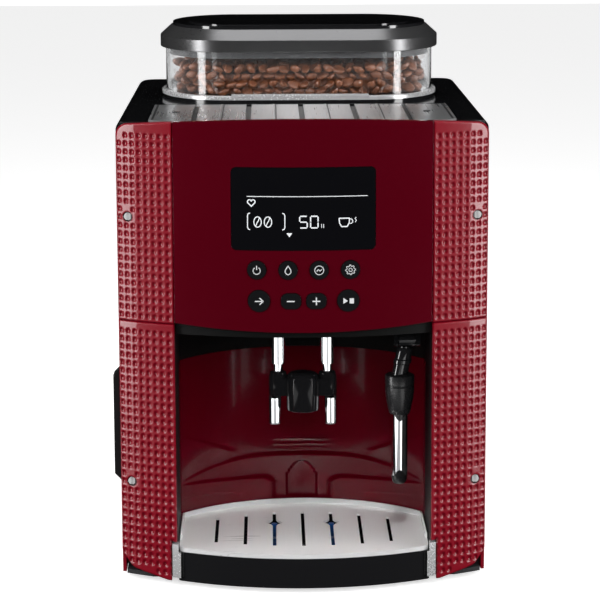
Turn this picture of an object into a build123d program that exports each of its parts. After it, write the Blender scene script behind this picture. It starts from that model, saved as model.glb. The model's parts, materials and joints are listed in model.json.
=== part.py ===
from build123d import *
import os
from math import cos, pi, radians, sin, sqrt

# Compact bean-to-cup coffee machine, in millimetres.
# +X is to the right seen from the front, +Y is the back, +Z is up.
# The origin is on the surface that the machine stands on, under the middle of the body.

# Body shell
WIDTH = 245.0
FRONT_Y = -163.0
REAR_Y = 165.0
FRONT_RADIUS = 250.0
REAR_CORNER = 14.0
SHELL = 3.0
GAP = 0.2
BODY_BOTTOM = 4.0
FRONT_PIECE_BACK = -126.0
REAR_PIECE_FRONT = 150.0
SKIRT_Z = 301.0
DECK_Z = 311.0
ARCH_TOP_Z = 315.4
ARCH_END_Z = 309.2
HALF = WIDTH / 2

# Front: cheeks, fascia, display and buttons
BAY_HALF = 84.5
CHEEK_FOOT_HALF = 88.4
CHEEK_FOOT_Z = 30.5
FASCIA_SIDE_Z = 180.2
FASCIA_MID_Z = 175.9
SCREW_X = 115.0
SCREW_ZS = (69.4, 248.6)
SCREW_RECESS = 3.3
SCREW_R = 1.45
SCREW_HEAD = 2.2
SCREW_LENGTH = 14.0
REAR_SCREW_X = 103.0
REAR_SCREW_ZS = (24.0, 284.0)
DISPLAY_Z = 257.2
DISPLAY_W = 93.6
DISPLAY_H = 54.1
BUTTON_BACK_Y = -150.6
BOARD_Y = -146.2
ROUND_BUTTONS = {
    "button_power": (-30.4, 217.3, 6.1),
    "button_clean": (-10.1, 217.3, 6.1),
    "button_descale": (10.1, 217.3, 6.1),
    "button_settings": (30.4, 217.3, 6.1),
    "button_next": (-29.0, 196.9, 7.2),
    "button_start": (29.0, 196.9, 7.2),
}
PILL_BUTTONS = {"button_minus": -8.2, "button_plus": 8.2}
PILL_Z = 196.9
PILL_W = 13.0
PILL_H = 10.3

# Cup bay and drip tray
BAY_SIDE_Y = -75.0
BAY_REAR_Y = -29.0
BAY_FOOT_Y = -37.0
BAY_LEDGES = ((44.0, -37.0), (60.0, -33.0))
BAY_TOP_Z = 172.0
LINER_TOP_Z = 139.0
TRAY_RADIUS = 190.0
TRAY_FRONT_Y = -165.0
TRAY_FLOOR_Z = 7.6
SKIRT_LOW_Z = 3.6
TRAY_TOP_Z = 23.6
GRILLE_TOP_Z = 26.6
RIM_TOP_Z = 30.0
SLOT_PITCH = 19.7
SLOT_WIDTH = 2.4
FLOAT_X = SLOT_PITCH
FLOAT_Y = -88.0

# Spout
SPOUT_Y = -103.0
COLUMN_X = 16.7
COLUMN_R = 5.0
COLUMN_LOW = 143.0
NECK_R = 3.5
CARRIAGE_LOW = 111.0
CARRIAGE_TOP = 137.6
TIP_X = 19.0
TIP_R = 4.3
TIP_LOW = 101.0
TIP_TOP = 121.0

# Steam wand
WAND_X = 70.0
WAND_Y = -113.0
WAND_PIVOT_Z = 161.0
WAND_LOW_X = 65.3
COLLAR_TOP = 137.0
COLLAR_LOW = 110.0
WAND_TUBE_R = 5.5
WAND_TUBE_LOW = 67.0
WAND_TIP_LOW = 61.0

# Hopper and lid
HOPPER_Y = 43.0
HOPPER_FLAT = 48.0
HOPPER_W = 96.0
HOPPER_D = 66.0
HOPPER_WALL = 2.0
HOPPER_FOOT = 313.4
RING_OUT = 3.0
RING_Z = 316.4
RING_BAR_Z = 317.6
HOPPER_TOP = 347.0
BEANS_TOP = 340.0
LID_W = 99.8
LID_D = 73.0
LID_BAND_TOP = 355.2
LID_BEVEL_TOP = 362.4
LID_TOP = 365.0
KNOB_X = -62.0
KNOB_Y = 62.0

# Deck panel
PANEL_HALF = 100.5
PANEL_REAR_Y = -40.0
PANEL_TOP = 312.2
PANEL_PITCH = 35.5

# Grinder and its gears
MODULE = 1.25
BURR_TEETH = 64
PINION_TEETH = 24
GEAR_LOW = 238.0
GEAR_TOP = 245.0
MOTOR_X = MODULE * (BURR_TEETH + PINION_TEETH) / 2

# Brew unit
BREW_X = 5.0
BREW_Y = 40.0
BORE_R = 19.0
CHAMBER_LOW = 125.0
CHAMBER_TOP = 180.0
DRIVE_SCREW_X = 40.0
PORT_X = 33.0
PORT_Y = 58.0

# Grounds drawer
DRAWER_Y0 = -120.0
DRAWER_Y1 = 76.0
DRAWER_Z0 = 14.0
DRAWER_Z1 = 150.0
GRIP_OUT = 4.8

# Pump and water tank
PUMP_X = 88.0
PUMP_Z = 44.0
BULKHEAD_Y = 113.0
TANK_HALF = 92.0
TANK_Y0 = 118.0
TANK_Y1 = 161.0
TANK_LOW = 62.0
TANK_TOP = 304.0
TANK_WALL = 2.5
TANK_PIN_Y = 158.4
TANK_PIN_Z = 307.6


def block(x0, x1, y0, y1, z0, z1):
    """A box between two corners."""
    return Pos((x0 + x1) / 2, (y0 + y1) / 2, (z0 + z1) / 2) * Box(x1 - x0, y1 - y0, z1 - z0)


def upright(x, y, radius, z0, z1):
    """A cylinder along Z."""
    return Pos(x, y, (z0 + z1) / 2) * Cylinder(radius, z1 - z0)


def along_y(x, z, radius, y0, y1):
    """A cylinder along Y."""
    return Pos(x, (y0 + y1) / 2, z) * Rot(90, 0, 0) * Cylinder(radius, y1 - y0)


def along_x(y, z, radius, x0, x1):
    """A cylinder along X."""
    return Pos((x0 + x1) / 2, y, z) * Rot(0, 90, 0) * Cylinder(radius, x1 - x0)


def rod_between(start, end, radius):
    """A cylinder from one point to another."""
    axis = Vector(*end) - Vector(*start)
    plane = Plane(origin=start, z_dir=axis)
    return plane * Pos(0, 0, axis.length / 2) * Cylinder(radius, axis.length)


def prism(face, z0, z1):
    """A flat outline on XY, raised between two heights."""
    return extrude(Pos(0, 0, z0) * face, amount=z1 - z0, dir=(0, 0, 1))


def turned(x, y, profile):
    """A solid of revolution about a vertical axis, from (radius, height) points."""
    with BuildSketch(Plane.XZ) as half_section:
        with BuildLine():
            Polyline(*profile, close=True)
        make_face()
    return Pos(x, y, 0) * revolve(half_section.sketch, Axis.Z)


def both_sides(solid):
    """A solid and its mirror image across the middle plane."""
    return solid + mirror(solid, Plane.YZ)


def front_y(x, inset=0.0):
    """Where the bowed front surface lies at x."""
    radius = FRONT_RADIUS - inset
    return FRONT_Y + FRONT_RADIUS - sqrt(radius * radius - x * x)


def body_plan(inset):
    """The body's outline from above, drawn in by inset."""
    half = HALF - inset
    corner_y = front_y(half, inset)
    rear = REAR_Y - inset
    with BuildSketch() as plan:
        with BuildLine():
            ThreePointArc((-half, corner_y), (0, FRONT_Y + inset), (half, corner_y))
            Polyline((half, corner_y), (half, rear), (-half, rear), (-half, corner_y))
        make_face()
        fillet(plan.vertices().sort_by(Axis.Y)[-2:], REAR_CORNER - inset)
    return plan.sketch


def shell_ring(thickness, z0, z1):
    """The body's wall all round, between two heights."""
    return prism(body_plan(0), z0, z1) - prism(body_plan(thickness), z0 - 1, z1 + 1)


def bay_plan(grow, rear=BAY_REAR_Y):
    """The cup bay's outline from above, with straight sides and a round back."""
    half = BAY_HALF + grow
    with BuildSketch() as plan:
        with BuildLine():
            ThreePointArc((-half, BAY_SIDE_Y), (0, rear + grow), (half, BAY_SIDE_Y))
            Polyline((half, BAY_SIDE_Y), (half, FRONT_Y), (-half, FRONT_Y), (-half, BAY_SIDE_Y))
        make_face()
    return plan.sketch


def tray_plan(inset, corner):
    """The drip tray's outline from above, with a bowed front and a round back."""
    half = BAY_HALF - 0.6 - inset
    radius = TRAY_RADIUS - inset
    side_y = TRAY_FRONT_Y + TRAY_RADIUS - sqrt(radius * radius - half * half)
    rear = BAY_FOOT_Y - 0.6 - inset
    with BuildSketch() as plan:
        with BuildLine():
            ThreePointArc((-half, side_y), (0, TRAY_FRONT_Y + inset), (half, side_y))
            Line((half, side_y), (half, BAY_SIDE_Y))
            ThreePointArc((half, BAY_SIDE_Y), (0, rear), (-half, BAY_SIDE_Y))
            Line((-half, BAY_SIDE_Y), (-half, side_y))
        make_face()
        fillet(plan.vertices().sort_by(Axis.Y)[:2], corner)
    return plan.sketch


def hopper_plan(half_width, half_depth):
    """The hopper's outline from above: flat front and back, elliptical ends."""
    reach = half_width - HOPPER_FLAT
    with BuildSketch() as plan:
        with BuildLine():
            Line((-HOPPER_FLAT, -half_depth), (HOPPER_FLAT, -half_depth))
            EllipticalCenterArc((HOPPER_FLAT, 0), reach, half_depth, start_angle=-90, arc_size=180)
            Line((HOPPER_FLAT, half_depth), (-HOPPER_FLAT, half_depth))
            EllipticalCenterArc((-HOPPER_FLAT, 0), reach, half_depth, start_angle=90, arc_size=180)
        make_face()
    return Pos(0, HOPPER_Y, 0) * plan.sketch


def front_outline():
    """The whole front seen from the front, with its arched top and cut lower corners."""
    with BuildSketch(Plane.XZ.offset(200)) as outline:
        with BuildLine():
            ThreePointArc((HALF, ARCH_END_Z), (0, ARCH_TOP_Z), (-HALF, ARCH_END_Z))
            Polyline((-HALF, ARCH_END_Z), (-HALF, 19), (-115, 9.6), (-91, SKIRT_LOW_Z), (91, SKIRT_LOW_Z))
            Polyline((91, SKIRT_LOW_Z), (115, 9.6), (HALF, 19), (HALF, ARCH_END_Z))
        make_face()
        fillet(outline.vertices().sort_by(Axis.Z)[-2:], 8)
        fillet(outline.vertices().filter_by(lambda v: 8 < v.Z < 25), 6)
    return extrude(outline.sketch, amount=90, dir=(0, 1, 0))


def front_shell():
    """The bowed front skin that the cheeks and the fascia are cut from."""
    skin = shell_ring(SHELL, 0, 320) & block(-130, 130, -170, FRONT_PIECE_BACK, 0, 320)
    return skin & front_outline()


# Casing

def make_cheek():
    """The right front cheek, with screw recesses and their bosses."""
    cheek = front_shell() & block(BAY_HALF + GAP, 130, -170, -100, 0, 320)
    cheek -= block(0, CHEEK_FOOT_HALF, -170, -100, 0, CHEEK_FOOT_Z)
    for z in SCREW_ZS:
        boss = along_y(SCREW_X, z, 4.6, front_y(SCREW_X) + 1.5, -123.0)
        cheek += boss & prism(body_plan(1.5), 0, 320)
        cheek -= along_y(SCREW_X, z, SCREW_RECESS, -150, front_y(SCREW_X) + 4.0)
        cheek -= along_y(SCREW_X, z, 1.5, -150, -120)
    return cheek


def make_casing_screws():
    """Eight chrome screws: four in the cheeks' recesses and four in the rear panel."""
    front_head = front_y(SCREW_X) + 1.8
    pairs = [(SCREW_X, z, front_head, 1) for z in SCREW_ZS]
    pairs += [(REAR_SCREW_X, z, REAR_Y, -1) for z in REAR_SCREW_ZS]
    screws = Part()
    for x, z, top_y, inward in pairs:
        under_y = top_y + inward * SCREW_HEAD
        end_y = top_y + inward * SCREW_LENGTH
        screw = along_y(x, z, 2.5, min(top_y, under_y), max(top_y, under_y))
        screw += along_y(x, z, SCREW_R, min(under_y, end_y), max(under_y, end_y))
        screw -= block(x - 0.4, x + 0.4, top_y - 0.8, top_y + 0.8, z - 3, z + 3)
        screws += both_sides(screw)
    return screws


def fascia_lower_edge():
    """The space under the fascia's sagging lower edge."""
    with BuildSketch(Plane.XZ.offset(200)) as under:
        with BuildLine():
            ThreePointArc((-BAY_HALF, FASCIA_SIDE_Z), (0, FASCIA_MID_Z), (BAY_HALF, FASCIA_SIDE_Z))
            Polyline((BAY_HALF, FASCIA_SIDE_Z), (HALF, FASCIA_SIDE_Z), (HALF, 0), (-HALF, 0))
            Polyline((-HALF, 0), (-HALF, FASCIA_SIDE_Z), (-BAY_HALF, FASCIA_SIDE_Z))
        make_face()
    return extrude(under.sketch, amount=90, dir=(0, 1, 0))


def rounded_window(x, z, width, height, radius, y0, y1):
    """A rounded rectangle facing the front, between two depths."""
    with BuildSketch(Plane.XZ.offset(-y0)) as window:
        with Locations((x, z)):
            RectangleRounded(width, height, radius)
    return extrude(window.sketch, amount=y1 - y0, dir=(0, 1, 0))


def make_front_fascia():
    """The gloss centre panel, with openings for the display and the buttons."""
    fascia = front_shell() & block(-BAY_HALF, BAY_HALF, -170, -100, 170, 320)
    fascia -= fascia_lower_edge()
    fascia -= rounded_window(0, DISPLAY_Z, DISPLAY_W + 0.3, DISPLAY_H + 0.3, 3.6, -170, -140)
    for x, z, radius in ROUND_BUTTONS.values():
        fascia -= along_y(x, z, radius + 0.3, -170, -140)
    for x in PILL_BUTTONS.values():
        fascia -= rounded_window(x, PILL_Z, PILL_W + 0.6, PILL_H + 0.6, 4.6, -170, -140)
    for x in (-57, 57):
        for z in (190, 290):
            boss = along_y(x, z, 3.5, front_y(x) + 1.5, BOARD_Y)
            fascia += boss & prism(body_plan(1.5), 0, 320)
    return fascia


def make_display_window():
    """The black glossy window, bowed like the fascia."""
    skin = prism(body_plan(0.2), 220, 290) - prism(body_plan(2.7), 219, 291)
    return skin & rounded_window(0, DISPLAY_Z, DISPLAY_W, DISPLAY_H, 3.4, -170, -145)


def make_display_board():
    """The circuit board behind the fascia, with its connector and chips."""
    board = block(-62, 62, BOARD_Y, BOARD_Y + 1.6, 186, 294)
    board += block(-20, 20, BOARD_Y + 1.6, BOARD_Y + 4.5, 280, 290)
    for x in (-40, 0, 40):
        board += block(x - 6, x + 6, BOARD_Y + 1.6, BOARD_Y + 3.4, 240, 252)
    return board


def button_body(cap, flange):
    """A button: its cap flush with the bowed fascia, with a flange behind it."""
    flush = prism(body_plan(-0.5), 180, 230)
    return (cap & flush) + flange


def make_round_button(x, z, radius):
    """A round button."""
    cap = along_y(x, z, radius, -166, BUTTON_BACK_Y)
    flange = along_y(x, z, radius + 1.0, BUTTON_BACK_Y - 2.2, BUTTON_BACK_Y)
    return button_body(cap, flange)


def make_pill_button(x):
    """A wide button with rounded ends."""
    cap = rounded_window(x, PILL_Z, PILL_W, PILL_H, 4.3, -166, BUTTON_BACK_Y)
    flange = rounded_window(x, PILL_Z, PILL_W + 1.6, PILL_H + 1.6, 4.9, BUTTON_BACK_Y - 2.2, BUTTON_BACK_Y)
    return button_body(cap, flange)


def make_side_panel():
    """The plain side panel."""
    ring = shell_ring(2.5, BODY_BOTTOM, SKIRT_Z - GAP)
    reach = block(100, 130, FRONT_PIECE_BACK + GAP, REAR_PIECE_FRONT - GAP, 0, 320)
    return ring & reach


def make_side_panel_left():
    """The left panel, with the opening for the grounds drawer."""
    panel = mirror(make_side_panel(), Plane.YZ)
    margin = 0.4
    y0 = DRAWER_Y0 - margin
    y1 = DRAWER_Y1 + margin
    opening = block(-130, -100, y0, y1, DRAWER_Z0 - margin, DRAWER_Z1 + margin)
    return panel - opening


def make_rear_panel():
    """The rear panel round both corners, with vents and the inlet's opening."""
    ring = shell_ring(2.5, BODY_BOTTOM, SKIRT_Z - GAP)
    panel = ring & block(-130, 130, REAR_PIECE_FRONT, 170, 0, 320)
    for row in range(8):
        z = 200 + 9 * row
        panel -= block(-60, 60, 155, 170, z, z + 3.5)
    panel -= block(-93, -67, 155, 170, 30, 50)
    for z in REAR_SCREW_ZS:
        hole = along_y(REAR_SCREW_X, z, 1.6, 155, 170)
        hole += along_y(REAR_SCREW_X, z, 2.7, REAR_Y - SCREW_HEAD, 170)
        panel -= both_sides(hole)
    return panel


def make_power_inlet():
    """The mains inlet socket, flush in the rear panel."""
    inlet = block(-92.8, -67.2, 146, REAR_Y, 30.2, 49.8)
    inlet -= block(-90.5, -69.5, 150, 170, 32.5, 47.5)
    for x in (-85, -80, -75):
        inlet += block(x - 1, x + 1, 150, 161, 38, 42)
    return inlet


def make_top_deck():
    """The black deck: rounded edges, a recess for the ribbed panel and two openings."""
    deck = prism(body_plan(0), SKIRT_Z, DECK_Z)
    deck = fillet(deck.faces().sort_by(Axis.Z)[-1].edges(), 6)
    outside = prism(body_plan(-2), 290, 330) - prism(body_plan(SHELL + GAP), 289, 331)
    deck -= outside & block(-130, 130, -170, FRONT_PIECE_BACK + GAP, 290, 330)
    deck -= prism(body_plan(6), SKIRT_Z - 1, DECK_Z - 3)
    deck -= panel_plate(0.2, PANEL_TOP - 2.4, PANEL_TOP + 2)
    deck += prism(hopper_plan(HOPPER_W + 1.5, HOPPER_D + 1.5), DECK_Z, HOPPER_FOOT)
    deck -= block(-TANK_HALF - 1.5, TANK_HALF + 1.5, TANK_Y0 - 1.5, REAR_Y - 3.2, SKIRT_Z - 1, DECK_Z + 1)
    deck -= upright(0, HOPPER_Y, 26, SKIRT_Z - 1, HOPPER_FOOT + 1)
    deck -= upright(KNOB_X, KNOB_Y, 4.1, SKIRT_Z - 1, HOPPER_FOOT + 1)
    return deck


def panel_plate(grow, z0, z1):
    """The ribbed panel's plate, with its front following the fascia."""
    plate = prism(body_plan(7 - grow), z0, z1)
    half = PANEL_HALF + grow
    return plate & block(-half, half, -170, PANEL_REAR_Y + grow, z0, z1)


def make_rib_panel():
    """The metal panel on the deck, with wide grooves and thin ribs in turn."""
    panel = panel_plate(0, PANEL_TOP - 2.4, PANEL_TOP)
    for step in range(-2, 3):
        x = step * PANEL_PITCH
        panel -= block(x - 2.0, x + 2.0, -150, PANEL_REAR_Y - 4, PANEL_TOP - 1.2, PANEL_TOP + 1)
    for step in range(-3, 3):
        x = (step + 0.5) * PANEL_PITCH
        panel += block(x - 0.8, x + 0.8, -130, PANEL_REAR_Y - 5, PANEL_TOP - 1, PANEL_TOP + 0.8)
    return panel


# Base and inner frame

def make_base_frame():
    """The base pan, four posts that the casing is screwed to, and the inner sheet wall."""
    pan = prism(body_plan(3.2), BODY_BOTTOM, 7) & block(-130, 130, -138, 170, 0, 20)
    for x0, x1 in ((-119, -108), (108, 119)):
        pan += block(x0, x1, -123, -112, 7, 300)
    for x0, x1 in ((-109, -97), (97, 109)):
        pan += block(x0, x1, 148, 162.3, 7, 300)
    for z in SCREW_ZS:
        pan -= both_sides(along_y(SCREW_X, z, SCREW_R, -124, front_y(SCREW_X) + 1.8 + SCREW_LENGTH))
    for z in REAR_SCREW_ZS:
        pan -= both_sides(along_y(REAR_SCREW_X, z, SCREW_R, REAR_Y - SCREW_LENGTH, 164))
    wall = block(-118, 118, BULKHEAD_Y, BULKHEAD_Y + 2, 7, 300)
    wall -= along_y(PUMP_X, PUMP_Z, 6, BULKHEAD_Y - 1, BULKHEAD_Y + 3)
    return pan + wall


def make_rubber_feet():
    """Four rubber feet."""
    feet = Part()
    for x in (-96, 96):
        for y in (-112, 138):
            feet += turned(x, y, [(0, 0), (8.5, 0), (10, 1.5), (10, BODY_BOTTOM), (0, BODY_BOTTOM)])
    return feet


def make_bay_frame():
    """The black bay moulding: side walls, upper back, ceiling, guides and the wand's socket."""
    walls = prism(bay_plan(2.2), 7, BAY_TOP_Z) - prism(bay_plan(0), 6, BAY_TOP_Z + 1)
    walls &= prism(body_plan(SHELL + 0.3), 0, 200)
    cut = block(-60, 60, -100, 0, 0, LINER_TOP_Z + 0.1)
    cut += block(-BAY_HALF - 5, BAY_HALF + 5, BAY_SIDE_Y - 10, 0, 0, LINER_TOP_Z + 0.1)
    cut += block(-BAY_HALF - 5, BAY_HALF + 5, -170, -139, 0, CHEEK_FOOT_Z)
    plate = prism(bay_plan(2.2), BAY_TOP_Z, BAY_TOP_Z + 3) & prism(body_plan(SHELL + 0.6), 160, 190)
    lip = prism(body_plan(SHELL + 0.6), BAY_TOP_Z, 184) - prism(body_plan(SHELL + 2.6), 160, 190)
    plate += lip & block(-BAY_HALF, BAY_HALF, -170, -130, 160, 190)
    for x in (-COLUMN_X, COLUMN_X):
        plate += upright(x, SPOUT_Y, 8, BAY_TOP_Z, 186)
    plate += upright(WAND_X, WAND_Y, 13.4, BAY_TOP_Z, 184)
    plate += block(66, 82, -94, -82, BAY_TOP_Z, 198)
    for x in (-COLUMN_X, COLUMN_X):
        plate -= upright(x, SPOUT_Y, COLUMN_R + 0.08, 160, 190)
    plate -= upright(WAND_X, WAND_Y, 10.98, 160, 190)
    return walls - cut + plate


def make_bay_liner():
    """The red curved back of the bay, with two stepped ledges and a niche at its foot."""
    liner = prism(bay_plan(2.2), 7, LINER_TOP_Z) - prism(bay_plan(0), BAY_LEDGES[-1][0], LINER_TOP_Z + 1)
    low = 6
    for top, rear in BAY_LEDGES:
        liner -= prism(bay_plan(0, rear), low, top)
        low = top
    liner &= block(-BAY_HALF - 5, BAY_HALF + 5, BAY_SIDE_Y - 9.8, 0, 0, LINER_TOP_Z)
    return liner - block(-11, 11, BAY_FOOT_Y - 5, BAY_FOOT_Y + 5, RIM_TOP_Z, 56)


def make_spout_columns():
    """Two chrome columns that slide in the ceiling, with their thinner lower necks."""
    columns = Part()
    for x in (-COLUMN_X, COLUMN_X):
        columns += upright(x, SPOUT_Y, COLUMN_R, COLUMN_LOW, 200)
        columns += upright(x, SPOUT_Y, NECK_R, CARRIAGE_TOP, COLUMN_LOW)
    return columns


def make_spout_body():
    """The black carriage: a round middle with an arm to each column."""
    middle = upright(0, SPOUT_Y - 2, 11.5, CARRIAGE_LOW, CARRIAGE_TOP)
    middle = fillet(middle.edges().sort_by(Axis.Z)[-1], 4)
    cross = block(-COLUMN_X, COLUMN_X, SPOUT_Y - 7, SPOUT_Y + 7, TIP_TOP, CARRIAGE_TOP - 4)
    arms = Part()
    for side in (-1, 1):
        arms += upright(side * COLUMN_X, SPOUT_Y, 6.6, TIP_TOP, CARRIAGE_TOP)
        arms += upright(side * TIP_X, SPOUT_Y, 6.2, TIP_TOP, TIP_TOP + 6)
    return middle + cross + arms


def make_spout_tips():
    """Two chrome nozzles."""
    tips = Part()
    for side in (-1, 1):
        profile = [(2, TIP_LOW), (TIP_R, TIP_LOW), (TIP_R + 0.3, TIP_TOP), (2, TIP_TOP)]
        tips += turned(side * TIP_X, SPOUT_Y, profile)
    return tips


# Steam wand

def make_wand_swivel():
    """The turning socket in the ceiling, with a fork and the pin that the arm tilts on."""
    swivel = upright(WAND_X, WAND_Y, 10.9, 169, 189)
    swivel += upright(WAND_X, WAND_Y, 12.4, 184.4, 189)
    fork = block(WAND_X - 9, WAND_X + 9, WAND_Y - 5, WAND_Y + 5, WAND_PIVOT_Z, 169)
    fork += along_x(WAND_Y, WAND_PIVOT_Z, 5, WAND_X - 9, WAND_X + 9)
    fork -= block(WAND_X - 6, WAND_X + 6, WAND_Y - 8, WAND_Y + 8, 150, 168.2)
    return swivel + fork + along_x(WAND_Y, WAND_PIVOT_Z, 1.5, WAND_X - 9, WAND_X + 9)


def make_wand_arm():
    """The black upper tube of the wand, with its eye and joint ring."""
    eye = along_x(WAND_Y, WAND_PIVOT_Z, 4.8, WAND_X - 5.8, WAND_X + 5.8)
    arm = rod_between((WAND_X, WAND_Y, WAND_PIVOT_Z), (WAND_LOW_X, WAND_Y, COLLAR_TOP), 5.5)
    arm &= block(0, 120, -150, -80, COLLAR_TOP, 155.5)
    arm += upright(WAND_X, WAND_Y, 4.2, 154, WAND_PIVOT_Z)
    ring = turned(67.2, WAND_Y, [(0, 144.8), (6.2, 144.8), (6.2, 147.2), (0, 147.2)])
    return eye + arm + ring - along_x(WAND_Y, WAND_PIVOT_Z, 1.58, WAND_X - 12, WAND_X + 12)


def make_wand_collar():
    """The heat-proof collar that the wand is gripped by."""
    profile = [
        (0, COLLAR_LOW),
        (6.8, COLLAR_LOW),
        (8.4, COLLAR_LOW + 8),
        (9.6, COLLAR_TOP - 7),
        (10.0, COLLAR_TOP - 1),
        (9.2, COLLAR_TOP),
        (0, COLLAR_TOP),
    ]
    return turned(WAND_LOW_X, WAND_Y, profile)


def make_wand_tube():
    """The chrome steam tube."""
    low = WAND_TUBE_LOW
    profile = [(2, low), (WAND_TUBE_R, low), (WAND_TUBE_R, COLLAR_LOW), (2, COLLAR_LOW)]
    return turned(WAND_LOW_X, WAND_Y, profile)


def make_wand_tip():
    """The black nozzle at the end of the wand."""
    tip = upright(WAND_LOW_X, WAND_Y, 5.2, WAND_TIP_LOW, WAND_TUBE_LOW)
    tip = fillet(tip.edges().sort_by(Axis.Z)[0], 3.5)
    return tip - upright(WAND_LOW_X, WAND_Y, 1.2, WAND_TIP_LOW - 1, WAND_TUBE_LOW + 1)


# Drip tray

def make_tray_body():
    """The black drip tray, with a taller front."""
    tray = prism(tray_plan(0, 3), TRAY_FLOOR_Z, TRAY_TOP_Z)
    front = prism(tray_plan(0, 3), SKIRT_LOW_Z, TRAY_FLOOR_Z) & block(-90, 90, -170, -139, 0, 20)
    tray += front
    tray -= prism(tray_plan(2, 2), TRAY_FLOOR_Z + 2, TRAY_TOP_Z + 1)
    return tray


def make_tray_trims():
    """The two bright corner trims of the tray."""
    trim = block(BAY_HALF - 0.6, CHEEK_FOOT_HALF - 0.4, -149.5, -140, 6, 29)
    trim += block(BAY_HALF - 2.2, BAY_HALF - 0.6, -149.5, -147.6, 6, TRAY_TOP_Z)
    trim &= prism(body_plan(0.5), 0, 40)
    trim -= prism(tray_plan(0, 3), 0, 40)
    return both_sides(trim)


def slot_span(x):
    """Where the grille's slot at x begins and ends, following the plate's outline."""
    return -144.0 + 0.0027 * x * x, -62.0 - 0.0042 * x * x


def star(x, y):
    """A four-pointed opening with hollow sides."""
    tips = ((6, 0), (0, 12), (-6, 0), (0, -12))
    hollows = ((2.5, 4.4), (-2.5, 4.4), (-2.5, -4.4), (2.5, -4.4))
    points = []
    for tip, hollow in zip(tips, hollows):
        points.append((x + tip[0], y + tip[1]))
        points.append((x + hollow[0], y + hollow[1]))
    with BuildSketch() as shape:
        with BuildLine():
            Polyline(*points, close=True)
        make_face()
    return shape.sketch


def make_drip_grille():
    """The steel grille with seven slots, two star openings and a raised rim behind."""
    grille = prism(tray_plan(0.4, 8), TRAY_TOP_Z + 0.1, GRILLE_TOP_Z)
    grille -= prism(tray_plan(2, 7), TRAY_TOP_Z, GRILLE_TOP_Z - 1.4)
    rim = prism(tray_plan(0.4, 8), GRILLE_TOP_Z, RIM_TOP_Z) - prism(tray_plan(1.8, 7), 20, 40)
    grille += rim & block(-90, 90, -128, 0, 20, 40)
    for step in range(-3, 4):
        x = step * SLOT_PITCH
        front, rear = slot_span(x)
        grille -= block(x - SLOT_WIDTH / 2, x + SLOT_WIDTH / 2, front, rear, 20, 30)
    for x in (-FLOAT_X, FLOAT_X):
        grille -= prism(star(x, FLOAT_Y), 20, 30)
    return grille


def make_tray_floats():
    """Two floats that rise through their openings when the tray is full."""
    floats = Part()
    for x in (-FLOAT_X, FLOAT_X):
        floats += upright(x, FLOAT_Y, 8, 11, 17)
        floats += upright(x, FLOAT_Y, 2.0, 17, GRILLE_TOP_Z - 0.8)
    return floats


# Grounds drawer

def make_drawer_front():
    """The drawer's black side plate, with its upright grip near the front."""
    plate = block(-HALF, -HALF + 2.5, DRAWER_Y0, DRAWER_Y1, DRAWER_Z0, DRAWER_Z1)
    with BuildSketch(Plane.XZ.offset(-DRAWER_Y0)) as section:
        with BuildLine():
            out = -HALF - GRIP_OUT
            Polyline((-HALF, 66), (out, 71), (out, 139), (-HALF, 144), close=True)
        make_face()
    return plate + extrude(section.sketch, amount=12, dir=(0, 1, 0))


def make_grounds_bin():
    """The open bin that catches the used coffee."""
    bin_ = block(-HALF + 2.5, 8, -22, 70, 15, 93)
    return bin_ - block(-HALF + 5, 5.5, -19.5, 67.5, 17.5, 94)


# Water tank

def make_water_tank():
    """The clear tank, with its outlet stub below and the lid's hinge pin between two ears."""
    tank = block(-TANK_HALF, TANK_HALF, TANK_Y0, TANK_Y1, TANK_LOW, TANK_TOP)
    tank = fillet(tank.edges().filter_by(Axis.Z), 5)
    wall = TANK_WALL
    inside = block(
        -TANK_HALF + wall, TANK_HALF - wall, TANK_Y0 + wall, TANK_Y1 - wall, TANK_LOW + wall, TANK_TOP + 1
    )
    tank -= inside
    tank += upright(0, 139.5, 9, 54, TANK_LOW + wall)
    tank -= upright(0, 139.5, 6, 50, TANK_LOW + wall + 1)
    for x0, x1 in ((-52, -42), (42, 52)):
        tank += block(x0, x1, TANK_Y1 - wall, TANK_Y1, TANK_TOP - 10, DECK_Z - 0.8)
        tank += block(x0, x1, 156.2, TANK_Y1, TANK_TOP - 6, DECK_Z - 0.8)
    return tank + along_x(TANK_PIN_Y, TANK_PIN_Z, 1.2, -52, 52)


def make_tank_lid():
    """The tank's lid and handle, flush with the deck."""
    lid = block(-TANK_HALF + 0.3, TANK_HALF - 0.3, TANK_Y0 + 0.3, 154.5, TANK_TOP + 0.2, DECK_Z)
    lid = fillet(lid.edges().filter_by(Axis.Z), 4)
    lid -= block(-30, 30, TANK_Y0 + 8, 146, TANK_TOP + 3.4, DECK_Z + 1)
    barrel = along_x(TANK_PIN_Y, TANK_PIN_Z, 2.4, -41.7, 41.7)
    web = block(-41.7, 41.7, 153, TANK_PIN_Y, TANK_PIN_Z, TANK_PIN_Z + 2.4)
    return lid + barrel + web - along_x(TANK_PIN_Y, TANK_PIN_Z, 1.27, -60, 60)


def make_tank_seat():
    """The shelf under the tank, with the valve seat that the outlet drops into."""
    seat = block(-96, 96, BULKHEAD_Y + 2, 162.3, 50, 53)
    seat += upright(0, 139.5, 14, 36, TANK_LOW)
    seat += block(10, 18, 134, 145, 39, 49)
    seat -= upright(0, 139.5, 9.1, 52, TANK_LOW + 1)
    seat -= upright(0, 139.5, 5, 40, 54)
    return seat


# Hopper, beans and lid

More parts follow.
